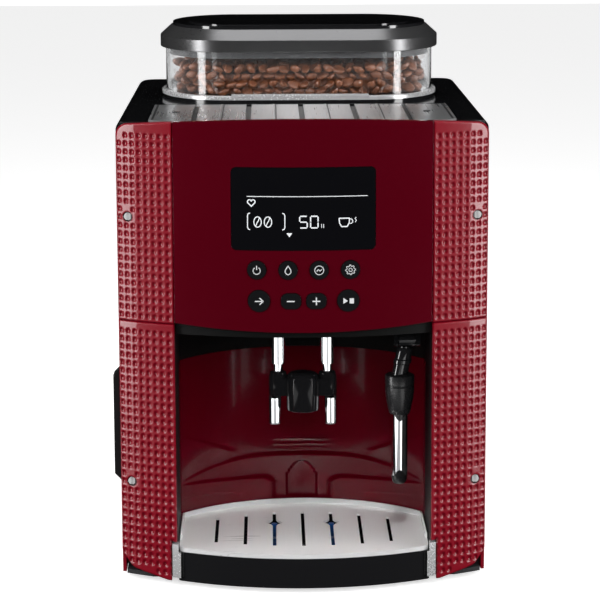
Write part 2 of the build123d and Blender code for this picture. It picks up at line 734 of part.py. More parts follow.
def make_bean_hopper():
    """The clear hopper with its floor, throat and the knob's hole."""
    floor = HOPPER_FOOT + 2
    hopper = prism(hopper_plan(HOPPER_W, HOPPER_D), HOPPER_FOOT, HOPPER_TOP)
    hopper -= prism(hopper_plan(HOPPER_W - HOPPER_WALL, HOPPER_D - HOPPER_WALL), floor, HOPPER_TOP + 1)
    hopper -= upright(0, HOPPER_Y, 24, HOPPER_FOOT - 1, floor + 1)
    hopper -= upright(KNOB_X, KNOB_Y, 4.1, HOPPER_FOOT - 1, floor + 1)
    return hopper


def make_hopper_ring():
    """The bright ring round the hopper's foot, with a taller bar along the flat front."""
    ring = prism(hopper_plan(HOPPER_W + RING_OUT, HOPPER_D + RING_OUT), HOPPER_FOOT, RING_Z)
    ring = fillet(ring.edges().group_by(Axis.Z)[-1], 1.2)
    front = HOPPER_Y - HOPPER_D
    ring += block(-HOPPER_FLAT, HOPPER_FLAT, front - RING_OUT, front, HOPPER_FOOT, RING_BAR_Z)
    ring -= block(-HOPPER_FLAT, HOPPER_FLAT, front - RING_OUT - 1, front - RING_OUT + 0.7, 315.1, 315.8)
    return ring - prism(hopper_plan(HOPPER_W, HOPPER_D), HOPPER_FOOT - 1, HOPPER_TOP)


def make_coffee_beans():
    """The heap of beans as one solid, clear of the hopper's walls and of the knob."""
    heap = prism(hopper_plan(HOPPER_W - 3, HOPPER_D - 3), HOPPER_FOOT + 2, BEANS_TOP)
    return heap - upright(KNOB_X, KNOB_Y, 14, DECK_Z, BEANS_TOP + 1)


def make_fineness_knob():
    """The grind-fineness knob that stands in the hopper."""
    under = HOPPER_FOOT + 2.4
    knob = upright(KNOB_X, KNOB_Y, 12, under, 333)
    knob = fillet(knob.edges().sort_by(Axis.Z)[-1], 2)
    knob += block(KNOB_X - 11, KNOB_X + 11, KNOB_Y - 2.5, KNOB_Y + 2.5, 330, 338)
    return knob + upright(KNOB_X, KNOB_Y, 4.02, 300, under + 1)


def make_lid_rim():
    """The lid's metal rim: an upright band and a sloping bevel."""
    band = prism(hopper_plan(LID_W, LID_D), HOPPER_TOP, LID_BAND_TOP)
    foot = Pos(0, 0, LID_BAND_TOP) * hopper_plan(LID_W, LID_D)
    head = Pos(0, 0, LID_BEVEL_TOP) * hopper_plan(LID_W - 8, LID_D - 8)
    bevel = loft([foot.face(), head.face()], ruled=True)
    rim = band + bevel
    return rim - prism(hopper_plan(LID_W - 9, LID_D - 9), HOPPER_TOP - 1, LID_TOP + 1)


def make_lid_plate():
    """The lid's black top plate, a little domed."""
    plate = prism(hopper_plan(LID_W - 9.1, LID_D - 9.1), LID_BAND_TOP, LID_TOP - 0.6)
    crown = prism(hopper_plan(LID_W - 20, LID_D - 20), LID_TOP - 0.6, LID_TOP)
    return plate + crown


def make_lid_seal():
    """The rubber seal that plugs the hopper's mouth."""
    seal = prism(hopper_plan(HOPPER_W - 2.4, HOPPER_D - 2.4), 342, HOPPER_TOP)
    return seal - prism(hopper_plan(HOPPER_W - 6, HOPPER_D - 6), 341, HOPPER_TOP + 1)


# Grinder

def gear_outline(teeth, phase):
    """A toothed wheel's outline, with slim straight-sided teeth that mesh with play."""
    pitch_radius = MODULE * teeth / 2
    root = pitch_radius - 1.15 * MODULE
    tip = pitch_radius + 0.75 * MODULE
    step = 2 * pi / teeth
    points = []
    for tooth in range(teeth):
        middle = phase + tooth * step
        for radius, share in ((root, -0.24), (tip, -0.10), (tip, 0.10), (root, 0.24)):
            angle = middle + share * step
            points.append((radius * cos(angle), radius * sin(angle)))
    with BuildSketch() as wheel:
        with BuildLine():
            Polyline(*points, close=True)
        make_face()
    return wheel.sketch


def make_grinder_housing():
    """The grinder's housing under the hopper's throat."""
    housing = upright(0, HOPPER_Y, 34, 250, DECK_Z - 3)
    housing -= upright(0, HOPPER_Y, 30, 254, 300)
    housing -= upright(0, HOPPER_Y, 24, 299, DECK_Z)
    housing -= upright(0, HOPPER_Y, 5.1, 249, 255)
    housing += block(-6, 6, HOPPER_Y + 33, BULKHEAD_Y, 262, 272)
    return housing


def make_ring_burr():
    """The fixed outer burr."""
    ring = upright(0, HOPPER_Y, 30, 272, 290)
    bore = Pos(0, HOPPER_Y, 281) * Cone(16, 24, 18.2)
    return ring - bore


def make_cone_burr():
    """The turning inner burr, its shaft and the large gear."""
    burr = Pos(0, HOPPER_Y, 281) * Cone(14, 9, 18)
    burr += upright(0, HOPPER_Y, 8, 262, 272)
    burr += upright(0, HOPPER_Y, 5.04, GEAR_LOW, 264)
    gear = Pos(0, HOPPER_Y, 0) * prism(gear_outline(BURR_TEETH, 0), GEAR_LOW, GEAR_TOP)
    for turn in range(6):
        angle = radians(30 + 60 * turn)
        gear -= upright(22 * cos(angle), HOPPER_Y + 22 * sin(angle), 7, 230, 250)
    return burr + gear


def make_grinder_motor():
    """The grinder's motor beside the housing."""
    motor = upright(MOTOR_X, HOPPER_Y, 19.5, 250, 300)
    motor += upright(MOTOR_X, HOPPER_Y, 8, 300, 304)
    motor += block(MOTOR_X - 8, MOTOR_X + 8, HOPPER_Y + 18, BULKHEAD_Y, 270, 276)
    return motor - upright(MOTOR_X, HOPPER_Y, 3.05, 249, 262)


def make_motor_pinion():
    """The motor's pinion on its shaft."""
    half_step = pi + pi / PINION_TEETH
    pinion = prism(gear_outline(PINION_TEETH, half_step), GEAR_LOW, GEAR_TOP)
    return Pos(MOTOR_X, HOPPER_Y, 0) * pinion + upright(MOTOR_X, HOPPER_Y, 3.0, GEAR_TOP, 261)


# Brew unit

def make_brew_frame():
    """The brew unit's bracket: two shelves on a back plate fixed to the bulkhead."""
    frame = block(-32, 56, 92, 95, 104, 228)
    for z0 in (112, 222):
        shelf = block(-32, 56, 14, 92, z0, z0 + 4)
        shelf -= upright(DRIVE_SCREW_X, BREW_Y, 4.06, z0 - 1, z0 + 5)
        frame += shelf
    for z in (130, 210):
        frame += block(-10, 30, 95, BULKHEAD_Y, z, z + 6)
    frame -= upright(BREW_X, BREW_Y, 6.1, 110, 118)
    return frame


def make_brew_chamber():
    """The brewing cylinder, open at the top, with its coffee outlet and water port."""
    chamber = upright(BREW_X, BREW_Y, 24, 116, CHAMBER_TOP)
    chamber += block(16, PORT_X, PORT_Y - 5, PORT_Y + 5, 145, 155)
    chamber -= upright(BREW_X, BREW_Y, BORE_R + 0.06, CHAMBER_LOW, CHAMBER_TOP + 1)
    return chamber + upright(BREW_X, BREW_Y, 6, 106, 116)


def make_brew_piston():
    """The piston, its rod and the crossbar that the drive screw moves."""
    piston = upright(BREW_X, BREW_Y, BORE_R, 168, 178)
    piston += upright(BREW_X, BREW_Y, 5, 178, 214)
    bar = block(BREW_X - 8, DRIVE_SCREW_X + 9, BREW_Y - 8, BREW_Y + 8, 211, 219)
    return piston + bar - upright(DRIVE_SCREW_X, BREW_Y, 4.08, 200, 220)


def make_brew_screw():
    """The upright drive screw with its drive wheel below the frame."""
    screw = upright(DRIVE_SCREW_X, BREW_Y, 4.0, 102, 226)
    return screw + upright(DRIVE_SCREW_X, BREW_Y, 9, 104, 111.6)


# Water and power

def make_pump():
    """The vibratory pump, lying along Y, with its coil, its nozzles and its two cradles."""
    pump = along_y(PUMP_X, PUMP_Z, 11, 28, 80)
    pump += block(PUMP_X - 14, PUMP_X + 14, 40, 68, PUMP_Z - 14, PUMP_Z + 14)
    pump += along_y(PUMP_X, PUMP_Z, 4.5, 20, 88)
    for y in (31, 72):
        pump += block(PUMP_X - 10, PUMP_X + 10, y, y + 5, 7, PUMP_Z)
    return pump


def make_thermoblock():
    """The aluminium water heater, with cooling ribs and lugs to the bulkhead."""
    heater = block(68, 106, -6, 78, 112, 190)
    for row in range(5):
        z = 122 + 14 * row
        heater -= block(103, 107, -7, 79, z, z + 6)
    for z in (126, 170):
        heater += block(80, 94, 78, BULKHEAD_Y, z, z + 6)
    return heater


def hose(points, radius, bend):
    """A hose along straight runs joined by round bends."""
    path = FilletPolyline(*points, radius=bend)
    start = path @ 0
    section = Plane(origin=start, z_dir=path % 0) * Circle(radius)
    return sweep(section, path=path)


def make_inner_hoses():
    """The hoses from tank seat to pump, pump to heater, heater to brewing and steam."""
    low = PUMP_Z
    hoses = hose([(18, 139.5, low), (PUMP_X, 139.5, low), (PUMP_X, 88, low)], 3, 18)
    hoses += hose([(PUMP_X, 20, low), (PUMP_X, 2, low), (PUMP_X, 2, 112)], 3, 15)
    hoses += along_x(PORT_Y, 150, 3, PORT_X, 68)
    hoses += hose([(74, 4, 190), (74, 4, 208), (74, -88, 208), (74, -88, 198)], 2, 9.5)
    return hoses


def make_all():
    """Every sub-part by name."""
    nodes = {
        "base_frame": make_base_frame(),
        "rubber_feet": make_rubber_feet(),
        "cheek_right": make_cheek(),
        "cheek_left": mirror(make_cheek(), Plane.YZ),
        "front_fascia": make_front_fascia(),
        "casing_screws": make_casing_screws(),
        "display_window": make_display_window(),
        "display_board": make_display_board(),
        "side_panel_right": make_side_panel(),
        "side_panel_left": make_side_panel_left(),
        "rear_panel": make_rear_panel(),
        "power_inlet": make_power_inlet(),
        "top_deck": make_top_deck(),
        "rib_panel": make_rib_panel(),
        "bay_frame": make_bay_frame(),
        "bay_liner": make_bay_liner(),
        "spout_columns": make_spout_columns(),
        "spout_body": make_spout_body(),
        "spout_tips": make_spout_tips(),
        "wand_swivel": make_wand_swivel(),
        "wand_arm": make_wand_arm(),
        "wand_collar": make_wand_collar(),
        "wand_tube": make_wand_tube(),
        "wand_tip": make_wand_tip(),
        "tray_body": make_tray_body(),
        "tray_trims": make_tray_trims(),
        "drip_grille": make_drip_grille(),
        "tray_floats": make_tray_floats(),
        "drawer_front": make_drawer_front(),
        "grounds_bin": make_grounds_bin(),
        "water_tank": make_water_tank(),
        "tank_lid": make_tank_lid(),
        "tank_seat": make_tank_seat(),
        "bean_hopper": make_bean_hopper(),
        "hopper_ring": make_hopper_ring(),
        "coffee_beans": make_coffee_beans(),
        "fineness_knob": make_fineness_knob(),
        "lid_rim": make_lid_rim(),
        "lid_plate": make_lid_plate(),
        "lid_seal": make_lid_seal(),
        "grinder_housing": make_grinder_housing(),
        "ring_burr": make_ring_burr(),
        "cone_burr": make_cone_burr(),
        "grinder_motor": make_grinder_motor(),
        "motor_pinion": make_motor_pinion(),
        "brew_frame": make_brew_frame(),
        "brew_chamber": make_brew_chamber(),
        "brew_piston": make_brew_piston(),
        "brew_screw": make_brew_screw(),
        "pump": make_pump(),
        "thermoblock": make_thermoblock(),
        "inner_hoses": make_inner_hoses(),
    }
    for name, (x, z, radius) in ROUND_BUTTONS.items():
        nodes[name] = make_round_button(x, z, radius)
    for name, x in PILL_BUTTONS.items():
        nodes[name] = make_pill_button(x)
    return nodes


os.makedirs("parts", exist_ok=True)
for node_name, solid in make_all().items():
    export_step(solid, f"parts/{node_name}.step")
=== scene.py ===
import json
import random
from math import acos, asin, atan2, cos, degrees, hypot, pi, radians, sin, sqrt, tan

import bmesh
import bpy
import numpy as np
from mathutils import Matrix, Vector
from mathutils.geometry import tessellate_polygon

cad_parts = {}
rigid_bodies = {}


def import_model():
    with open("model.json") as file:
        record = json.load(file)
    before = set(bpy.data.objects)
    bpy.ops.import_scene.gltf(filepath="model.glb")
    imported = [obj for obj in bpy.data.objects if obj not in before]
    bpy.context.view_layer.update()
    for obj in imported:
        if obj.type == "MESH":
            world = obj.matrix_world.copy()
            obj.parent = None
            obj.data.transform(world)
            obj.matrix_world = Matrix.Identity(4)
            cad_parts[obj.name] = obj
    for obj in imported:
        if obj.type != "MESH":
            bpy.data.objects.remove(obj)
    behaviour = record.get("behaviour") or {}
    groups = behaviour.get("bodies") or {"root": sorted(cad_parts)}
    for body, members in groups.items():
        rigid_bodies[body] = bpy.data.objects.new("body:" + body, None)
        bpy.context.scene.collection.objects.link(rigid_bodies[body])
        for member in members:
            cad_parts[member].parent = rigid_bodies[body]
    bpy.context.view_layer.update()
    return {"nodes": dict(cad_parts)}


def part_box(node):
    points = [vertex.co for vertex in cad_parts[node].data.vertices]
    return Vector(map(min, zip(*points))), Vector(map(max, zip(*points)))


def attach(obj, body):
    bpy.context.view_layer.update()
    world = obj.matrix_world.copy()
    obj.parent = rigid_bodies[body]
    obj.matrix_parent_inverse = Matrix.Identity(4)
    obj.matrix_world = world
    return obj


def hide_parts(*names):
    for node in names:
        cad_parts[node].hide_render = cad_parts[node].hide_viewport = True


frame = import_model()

# A compact bean-to-cup coffee machine. Sizes here are in millimetres and go to metres when a piece is made.
MM = 0.001
nodes = frame["nodes"]

FRONT_Y = -163.0
FRONT_RADIUS = 250.0
SHELL = 3.0
HALF = 122.5
BAY_HALF = 84.5
ARCH_TOP_Z = 315.4
ARCH_END_Z = 309.2
FASCIA_SIDE_Z = 180.2
FASCIA_MID_Z = 175.9
CHEEK_FOOT_HALF = 88.4
CHEEK_FOOT_Z = 30.5
SKIRT_LOW_Z = 3.6
SEAM_Z = 179.0
SEAM_GAP = 0.35
SCREWS = ((115.0, 69.4), (115.0, 248.6))
SCREW_RECESS = 3.3
CREASE_X = 110.0
CREASE_SLOPE = tan(radians(7))

PIT_COLUMN = 5.05
PIT_ROW = 5.43
FIRST_PIT_S = 90.1
FIRST_PIT_Z = 9.2
PIT_COLUMNS = 8
PIT_ROWS = 55
PIT_STEPS = 10
PIT_HALF_W = 1.9
PIT_HALF_H = 2.2
PIT_DEPTH = 1.35

DISPLAY_Z = 257.2
DISPLAY_W = 93.6
DISPLAY_H = 54.1
ROUND_BUTTONS = {
    "button_power": (-30.4, 217.3, 6.1),
    "button_clean": (-10.1, 217.3, 6.1),
    "button_descale": (10.1, 217.3, 6.1),
    "button_settings": (30.4, 217.3, 6.1),
    "button_next": (-29.0, 196.9, 7.2),
    "button_start": (29.0, 196.9, 7.2),
}
PILL_BUTTONS = {"button_minus": -8.2, "button_plus": 8.2}
PILL_Z = 196.9
PILL_W = 13.0
PILL_H = 10.3

HOPPER_Y = 43.0
HOPPER_FLAT = 48.0
HOPPER_W = 96.0
HOPPER_D = 66.0
HOPPER_FOOT = 313.4
BEANS_TOP = 340.0
KNOB = (-62.0, 62.0)


# Materials: each is a node tree with colour, roughness and relief that vary over the surface.

def finish(name, colour, rough, metal=0.0, coat=0.0, grain=400.0, relief=0.03, vary=0.08, rough_vary=0.05,
           stretch=(1, 1, 1), distance=0.0002, broad_scale=14.0, **sockets):
    """A Principled material whose colour, roughness and bump follow fine and broad noise."""
    material = bpy.data.materials.new(name)
    material.use_nodes = True
    tree = material.node_tree
    shader = tree.nodes["Principled BSDF"]
    shader.inputs["Metallic"].default_value = metal
    shader.inputs["Coat Weight"].default_value = coat
    shader.inputs["Coat Roughness"].default_value = 0.04
    for key, value in sockets.items():
        shader.inputs[key.replace("_", " ")].default_value = value
    place = tree.nodes.new("ShaderNodeTexCoord")
    mapping = tree.nodes.new("ShaderNodeMapping")
    mapping.inputs["Scale"].default_value = stretch
    tree.links.new(place.outputs["Object"], mapping.inputs["Vector"])
    fine = tree.nodes.new("ShaderNodeTexNoise")
    fine.inputs["Scale"].default_value = grain
    fine.inputs["Detail"].default_value = 3.0
    broad = tree.nodes.new("ShaderNodeTexNoise")
    broad.inputs["Scale"].default_value = broad_scale
    broad.inputs["Detail"].default_value = 2.0
    tree.links.new(mapping.outputs["Vector"], fine.inputs["Vector"])
    tree.links.new(place.outputs["Object"], broad.inputs["Vector"])
    mix = tree.nodes.new("ShaderNodeMix")
    mix.data_type = "RGBA"
    mix.inputs["A"].default_value = tuple(c * (1 - vary) for c in colour) + (1,)
    mix.inputs["B"].default_value = tuple(min(1.0, c * (1 + vary)) for c in colour) + (1,)
    blend = tree.nodes.new("ShaderNodeMath")
    blend.operation = "MULTIPLY_ADD"
    blend.inputs[1].default_value = 0.5
    tree.links.new(fine.outputs["Fac"], blend.inputs[0])
    half = tree.nodes.new("ShaderNodeMath")
    half.operation = "MULTIPLY"
    half.inputs[1].default_value = 0.5
    tree.links.new(broad.outputs["Fac"], half.inputs[0])
    tree.links.new(half.outputs[0], blend.inputs[2])
    tree.links.new(blend.outputs[0], mix.inputs["Factor"])
    tree.links.new(mix.outputs["Result"], shader.inputs["Base Color"])
    spread = tree.nodes.new("ShaderNodeMapRange")
    spread.inputs["From Min"].default_value = 0.3
    spread.inputs["From Max"].default_value = 0.7
    spread.inputs["To Min"].default_value = max(0.01, rough - rough_vary)
    spread.inputs["To Max"].default_value = min(1.0, rough + rough_vary)
    tree.links.new(blend.outputs[0], spread.inputs["Value"])
    tree.links.new(spread.outputs["Result"], shader.inputs["Roughness"])
    bump = tree.nodes.new("ShaderNodeBump")
    bump.inputs["Strength"].default_value = relief
    bump.inputs["Distance"].default_value = distance
    tree.links.new(fine.outputs["Fac"], bump.inputs["Height"])
    tree.links.new(bump.outputs["Normal"], shader.inputs["Normal"])
    return material


RED = (0.24, 0.0010, 0.012)
M = {
    "red_textured": finish("red_textured", (0.20, 0.0006, 0.009), 0.30, coat=0.15, grain=900, relief=0.03),
    "red_gloss": finish("red_gloss", (0.075, 0.0004, 0.005), 0.13, coat=1.0, grain=300, relief=0.012,
                        rough_vary=0.03, vary=0.05),
    "red_liner": finish("red_liner", (0.115, 0.0006, 0.007), 0.12, coat=0.25, grain=300, relief=0.012,
                        rough_vary=0.03, vary=0.05, Specular_IOR_Level=0.35),
    "red_side": finish("red_side", RED, 0.30, coat=0.3, grain=1400, relief=0.06, rough_vary=0.02, vary=0.04),
    "black_gloss": finish("black_gloss", (0.010, 0.010, 0.011), 0.12, coat=0.6, grain=500, relief=0.015),
    "black_satin": finish("black_satin", (0.012, 0.012, 0.013), 0.30, grain=1500, relief=0.08),
    "black_display": finish("black_display", (0.004, 0.004, 0.005), 0.05, coat=1.0, grain=200, relief=0.004,
                            rough_vary=0.02),
    "button_black": finish("button_black", (0.008, 0.008, 0.009), 0.22, coat=0.3, grain=900, relief=0.03),
    "chrome": finish("chrome", (0.80, 0.81, 0.83), 0.07, metal=1.0, grain=900, relief=0.01, vary=0.03,
                     rough_vary=0.03),
    "grille_steel": finish("grille_steel", (0.80, 0.80, 0.80), 0.33, metal=0.45, grain=700, relief=0.10,
                           stretch=(0.03, 1.0, 1.0), vary=0.06, rough_vary=0.07),
    "deck_metal": finish("deck_metal", (0.34, 0.34, 0.345), 0.30, metal=0.75, grain=700, relief=0.07,
                         stretch=(1.0, 0.03, 1.0), vary=0.06, rough_vary=0.06),
    "lid_metal": finish("lid_metal", (0.15, 0.15, 0.153), 0.30, metal=0.85, grain=900, relief=0.05,
                        stretch=(0.3, 0.3, 1.0), vary=0.05),
    "trim_silver": finish("trim_silver", (0.74, 0.74, 0.75), 0.26, metal=0.55, grain=900, relief=0.03, vary=0.04),
    "screw_silver": finish("screw_silver", (0.80, 0.80, 0.80), 0.30, metal=0.25, grain=900, relief=0.05, vary=0.04),
    "clear_plastic": finish("clear_plastic", (0.94, 0.95, 0.96), 0.04, grain=250, relief=0.01, vary=0.02,
                            rough_vary=0.02, Transmission_Weight=1.0, IOR=1.45),
    "tank_plastic": finish("tank_plastic", (0.30, 0.31, 0.33), 0.12, grain=300, relief=0.02, vary=0.03,
                           rough_vary=0.04, Transmission_Weight=0.85, IOR=1.45),
    "bay_black": finish("bay_black", (0.006, 0.006, 0.006), 0.50, grain=1500, relief=0.08, rough_vary=0.03,
                        Specular_IOR_Level=0.2),
    "rubber": finish("rubber", (0.012, 0.012, 0.012), 0.75, grain=1800, relief=0.25),
    "seal_rubber": finish("seal_rubber", (0.05, 0.05, 0.052), 0.60, grain=1200, relief=0.15),
    "frame_plastic": finish("frame_plastic", (0.020, 0.020, 0.022), 0.45, grain=1500, relief=0.15),
    "inner_plastic": finish("inner_plastic", (0.42, 0.41, 0.39), 0.45, grain=1500, relief=0.12),
    "board_green": finish("board_green", (0.02, 0.12, 0.04), 0.35, grain=260, relief=0.10, vary=0.35,
                          stretch=(1, 1, 0.2)),
    "burr_steel": finish("burr_steel", (0.40, 0.40, 0.41), 0.35, metal=1.0, grain=900, relief=0.15),
    "motor_metal": finish("motor_metal", (0.45, 0.45, 0.46), 0.38, metal=1.0, grain=700, relief=0.12,
                          stretch=(1, 1, 0.05)),
    "heater_metal": finish("heater_metal", (0.50, 0.50, 0.49), 0.50, metal=1.0, grain=500, relief=0.30),
    "float_blue": finish("float_blue", (0.015, 0.10, 0.36), 0.30, coat=0.3, grain=900, relief=0.05),
    "hose_rubber": finish("hose_rubber", (0.55, 0.54, 0.52), 0.40, grain=900, relief=0.10),
    "bean_brown": finish("bean_brown", (0.15, 0.050, 0.020), 0.36, grain=260, relief=0.30, vary=0.60,
                         rough_vary=0.08, coat=0.5, distance=0.0004, broad_scale=110.0),
    # Near-black for the deck panel's groove floors and the thin strips beside its ribs and stubs: painted shade and
    # painted shadow.
    "groove_painted_shade": finish("groove_painted_shade", (0.010, 0.010, 0.010), 0.50, grain=900, relief=0.10),
    # The buttons' printed signs: pale print with a faint emission, a painted glow on print that is no lamp.
    "icon_pale_painted_glow": finish("icon_pale_painted_glow", (0.62, 0.63, 0.64), 0.40, grain=900, relief=0.02,
                        Emission_Color=(0.75, 0.76, 0.76, 1), Emission_Strength=0.12),
    "icon_lit": finish("icon_lit", (0.62, 0.64, 0.66), 0.40, grain=900, relief=0.02,
                       Emission_Color=(0.78, 0.80, 0.82, 1), Emission_Strength=0.40),
    # A near-black red for the walls and floors of the cheeks' screw recesses: painted shade where the recesses fall
    # dark.
    "recess_painted_shade": finish("recess_painted_shade", (0.020, 0.002, 0.003), 0.40, grain=900, relief=0.10),
}



def let_lamps_through(material):
    """Rays from the lamps pass this clear material, so that what is behind it is lit."""
    tree = material.node_tree
    shader = tree.nodes["Principled BSDF"]
    output = tree.nodes["Material Output"]
    path = tree.nodes.new("ShaderNodeLightPath")
    open_way = tree.nodes.new("ShaderNodeBsdfTransparent")
    choice = tree.nodes.new("ShaderNodeMixShader")
    tree.links.new(path.outputs["Is Shadow Ray"], choice.inputs["Fac"])
    tree.links.new(shader.outputs["BSDF"], choice.inputs[1])
    tree.links.new(open_way.outputs["BSDF"], choice.inputs[2])
    tree.links.new(choice.outputs["Shader"], output.inputs["Surface"])


def paint_beyond(material, limit, colour):
    """Gives the part of a piece beyond a place on the left its own colour, for the drawer's black grip."""
    tree = material.node_tree
    shader = tree.nodes["Principled BSDF"]
    old = shader.inputs["Base Color"].links[0].from_socket
    place = tree.nodes.new("ShaderNodeTexCoord")
    split = tree.nodes.new("ShaderNodeSeparateXYZ")
    beyond = tree.nodes.new("ShaderNodeMath")
    beyond.operation = "LESS_THAN"
    beyond.inputs[1].default_value = limit
    mix = tree.nodes.new("ShaderNodeMix")
    mix.data_type = "RGBA"
    tree.links.new(place.outputs["Object"], split.inputs[0])
    tree.links.new(split.outputs["X"], beyond.inputs[0])
    tree.links.new(beyond.outputs[0], mix.inputs["Factor"])
    tree.links.new(old, mix.inputs["A"])
    mix.inputs["B"].default_value = colour + (1,)
    tree.links.new(mix.outputs["Result"], shader.inputs["Base Color"])


M["drawer_red"] = finish("drawer_red", RED, 0.30, coat=0.3, grain=1400, relief=0.06, rough_vary=0.02, vary=0.04)
paint_beyond(M["drawer_red"], -0.1229, (0.012, 0.012, 0.013))
let_lamps_through(M["clear_plastic"])
let_lamps_through(M["tank_plastic"])

NODE_FINISH = {
    "base_frame": "frame_plastic", "bay_frame": "bay_black", "bay_liner": "red_liner",
    "bean_hopper": "clear_plastic", "brew_chamber": "inner_plastic", "brew_frame": "inner_plastic",
    "brew_piston": "inner_plastic", "brew_screw": "burr_steel", "casing_screws": "screw_silver",
    "cone_burr": "burr_steel", "display_board": "board_green", "display_window": "black_display",
    "drawer_front": "drawer_red", "drip_grille": "grille_steel", "fineness_knob": "black_satin",
    "grinder_housing": "inner_plastic", "grinder_motor": "motor_metal", "grounds_bin": "black_satin",
    "hopper_ring": "trim_silver", "inner_hoses": "hose_rubber", "lid_plate": "black_gloss",
    "lid_rim": "lid_metal", "lid_seal": "seal_rubber", "motor_pinion": "burr_steel",
    "power_inlet": "black_satin", "pump": "motor_metal", "rear_panel": "red_side",
    "rib_panel": "deck_metal", "ring_burr": "burr_steel", "rubber_feet": "rubber",
    "side_panel_left": "red_side", "side_panel_right": "red_side", "spout_body": "black_gloss",
    "spout_columns": "chrome", "spout_tips": "chrome", "tank_lid": "black_satin",
    "tank_seat": "black_satin", "thermoblock": "heater_metal", "top_deck": "black_gloss",
    "tray_body": "black_gloss", "tray_floats": "float_blue", "tray_trims": "trim_silver",
    "wand_arm": "black_gloss", "wand_collar": "black_satin", "wand_swivel": "black_gloss",
    "wand_tip": "black_satin", "wand_tube": "chrome", "water_tank": "tank_plastic",
    "front_fascia": "red_gloss", "cheek_left": "red_textured", "cheek_right": "red_textured",
    "coffee_beans": "bean_brown",
}
for button in list(ROUND_BUTTONS) + list(PILL_BUTTONS):
    NODE_FINISH[button] = "button_black"

# How far each visible moulding's edges are rounded. Nodes that aren't named keep 0.3.
EDGE = {
    "top_deck": 0.6, "rib_panel": 0.25, "lid_rim": 0.5, "lid_plate": 0.5, "bean_hopper": 0.5,
    "drip_grille": 0.3, "tray_body": 0.7, "tray_trims": 0.5, "spout_body": 1.2, "wand_collar": 1.0,
    "bay_liner": 0.8, "front_fascia": 0.7, "casing_screws": 0.4, "tray_floats": 0.3,
}
PLAIN = ("inner_hoses", "cone_burr", "ring_burr", "brew_screw", "motor_pinion")


def soften(node, width):
    """Rounds a CAD node's edges and evens its shading, with modifiers only."""
    item = nodes[node]
    weld = item.modifiers.new("weld", "WELD")
    weld.merge_threshold = 1e-5
    if node in PLAIN:
        return
    bevel = item.modifiers.new("edges", "BEVEL")
    bevel.width = width * MM
    bevel.segments = 2
    bevel.limit_method = "ANGLE"
    bevel.angle_limit = radians(28)
    bevel.use_clamp_overlap = True
    even = item.modifiers.new("shading", "WEIGHTED_NORMAL")
    even.keep_sharp = True


def dress_nodes():
    """Gives every CAD node its material and soft edges."""
    for name, item in nodes.items():
        material = M[NODE_FINISH[name]]
        if not item.data.materials:
            item.data.materials.append(material)
        for index in range(len(item.data.materials)):
            item.data.materials[index] = material
        soften(name, EDGE.get(name, 0.3))


# Mesh helpers

def make_piece(name, shape, materials, body, replaced=(), sharp=35.0):
    """Turns a bmesh in millimetres into a piece that rides on a body."""
    bmesh.ops.scale(shape, vec=(MM, MM, MM), verts=shape.verts)
    bmesh.ops.recalc_face_normals(shape, faces=shape.faces)
    shape.normal_update()
    for face in shape.faces:
        face.smooth = True
    for edge in shape.edges:
        if len(edge.link_faces) != 2 or edge.calc_face_angle(0.0) > radians(sharp):
            edge.smooth = False
    mesh = bpy.data.meshes.new(name)
    shape.to_mesh(mesh)
    shape.free()
    item = bpy.data.objects.new(name, mesh)
    bpy.context.scene.collection.objects.link(item)
    for key in materials:
        mesh.materials.append(M[key])
    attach(item, body)
    if replaced:
        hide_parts(*replaced)
    return item


def front_y(x, inset=0.0):
    """Where the bowed front surface lies at x."""
    radius = FRONT_RADIUS - inset
    return FRONT_Y + FRONT_RADIUS - sqrt(radius * radius - x * x)


def arch_z(x, middle, end, half):
    """The height at x of an arc through (-half, end), (0, middle) and (half, end)."""
    rise = middle - end
    radius = (half * half + rise * rise) / (2 * abs(rise))
    drop = radius - sqrt(radius * radius - x * x)
    return middle - drop if rise > 0 else middle + drop


def round_corner(before, corner, after, radius, count=8):
    """Points of the arc that rounds a corner."""
    corner = Vector(corner)
    a = (Vector(before) - corner).normalized()
    b = (Vector(after) - corner).normalized()
    half = acos(max(-1, min(1, a.dot(b)))) / 2
    reach = radius / tan(half)
    centre = corner + (a + b).normalized() * (radius / sin(half))
    start = corner + a * reach - centre
    end = corner + b * reach - centre
    turn = atan2(start.x * end.y - start.y * end.x, start.dot(end))
    points = []
    for step in range(count + 1):
        angle = turn * step / count
        points.append((
            centre.x + start.x * cos(angle) - start.y * sin(angle),
            centre.y + start.x * sin(angle) + start.y * cos(angle),
        ))
    return points


def circle(x, z, radius, count=40):
    """Points round a circle."""
    return [(x + radius * cos(2 * pi * k / count), z + radius * sin(2 * pi * k / count)) for k in range(count)]


def rounded_rectangle(x, z, width, height, radius, count=8):
    """Points round a rounded rectangle."""
    w = width / 2
    h = height / 2
    corners = [(x - w, z - h), (x + w, z - h), (x + w, z + h), (x - w, z + h)]
    points = []
    for k in range(4):
        points += round_corner(corners[k - 1], corners[k], corners[(k + 1) % 4], radius, count)
    return points


def nearest_on(loop, xs, zs):
    """For each point, its distance to a closed loop and the nearest place on it."""
    best = np.full(len(xs), 1e9)
    near_x = np.zeros(len(xs))
    near_z = np.zeros(len(xs))
    for k in range(len(loop)):
        ax, az = loop[k - 1]
        bx, bz = loop[k]
        dx = bx - ax
        dz = bz - az
        size = dx * dx + dz * dz
        if size < 1e-12:
            continue
        along = np.clip(((xs - ax) * dx + (zs - az) * dz) / size, 0, 1)
        px = ax + along * dx
        pz = az + along * dz
        gap = np.hypot(xs - px, zs - pz)
        closer = gap < best
        best[closer] = gap[closer]
        near_x[closer] = px[closer]
        near_z[closer] = pz[closer]
    return best, near_x, near_z


def inside_loop(loop, xs, zs):
    """True for each point inside a closed loop."""
    inside = np.zeros(len(xs), bool)
    for k in range(len(loop)):
        ax, az = loop[k - 1]
        bx, bz = loop[k]
        if abs(bz - az) < 1e-12:
            continue
        crosses = ((az > zs) != (bz > zs)) & (xs < (bx - ax) * (zs - az) / (bz - az) + ax)
        inside ^= crosses
    return inside


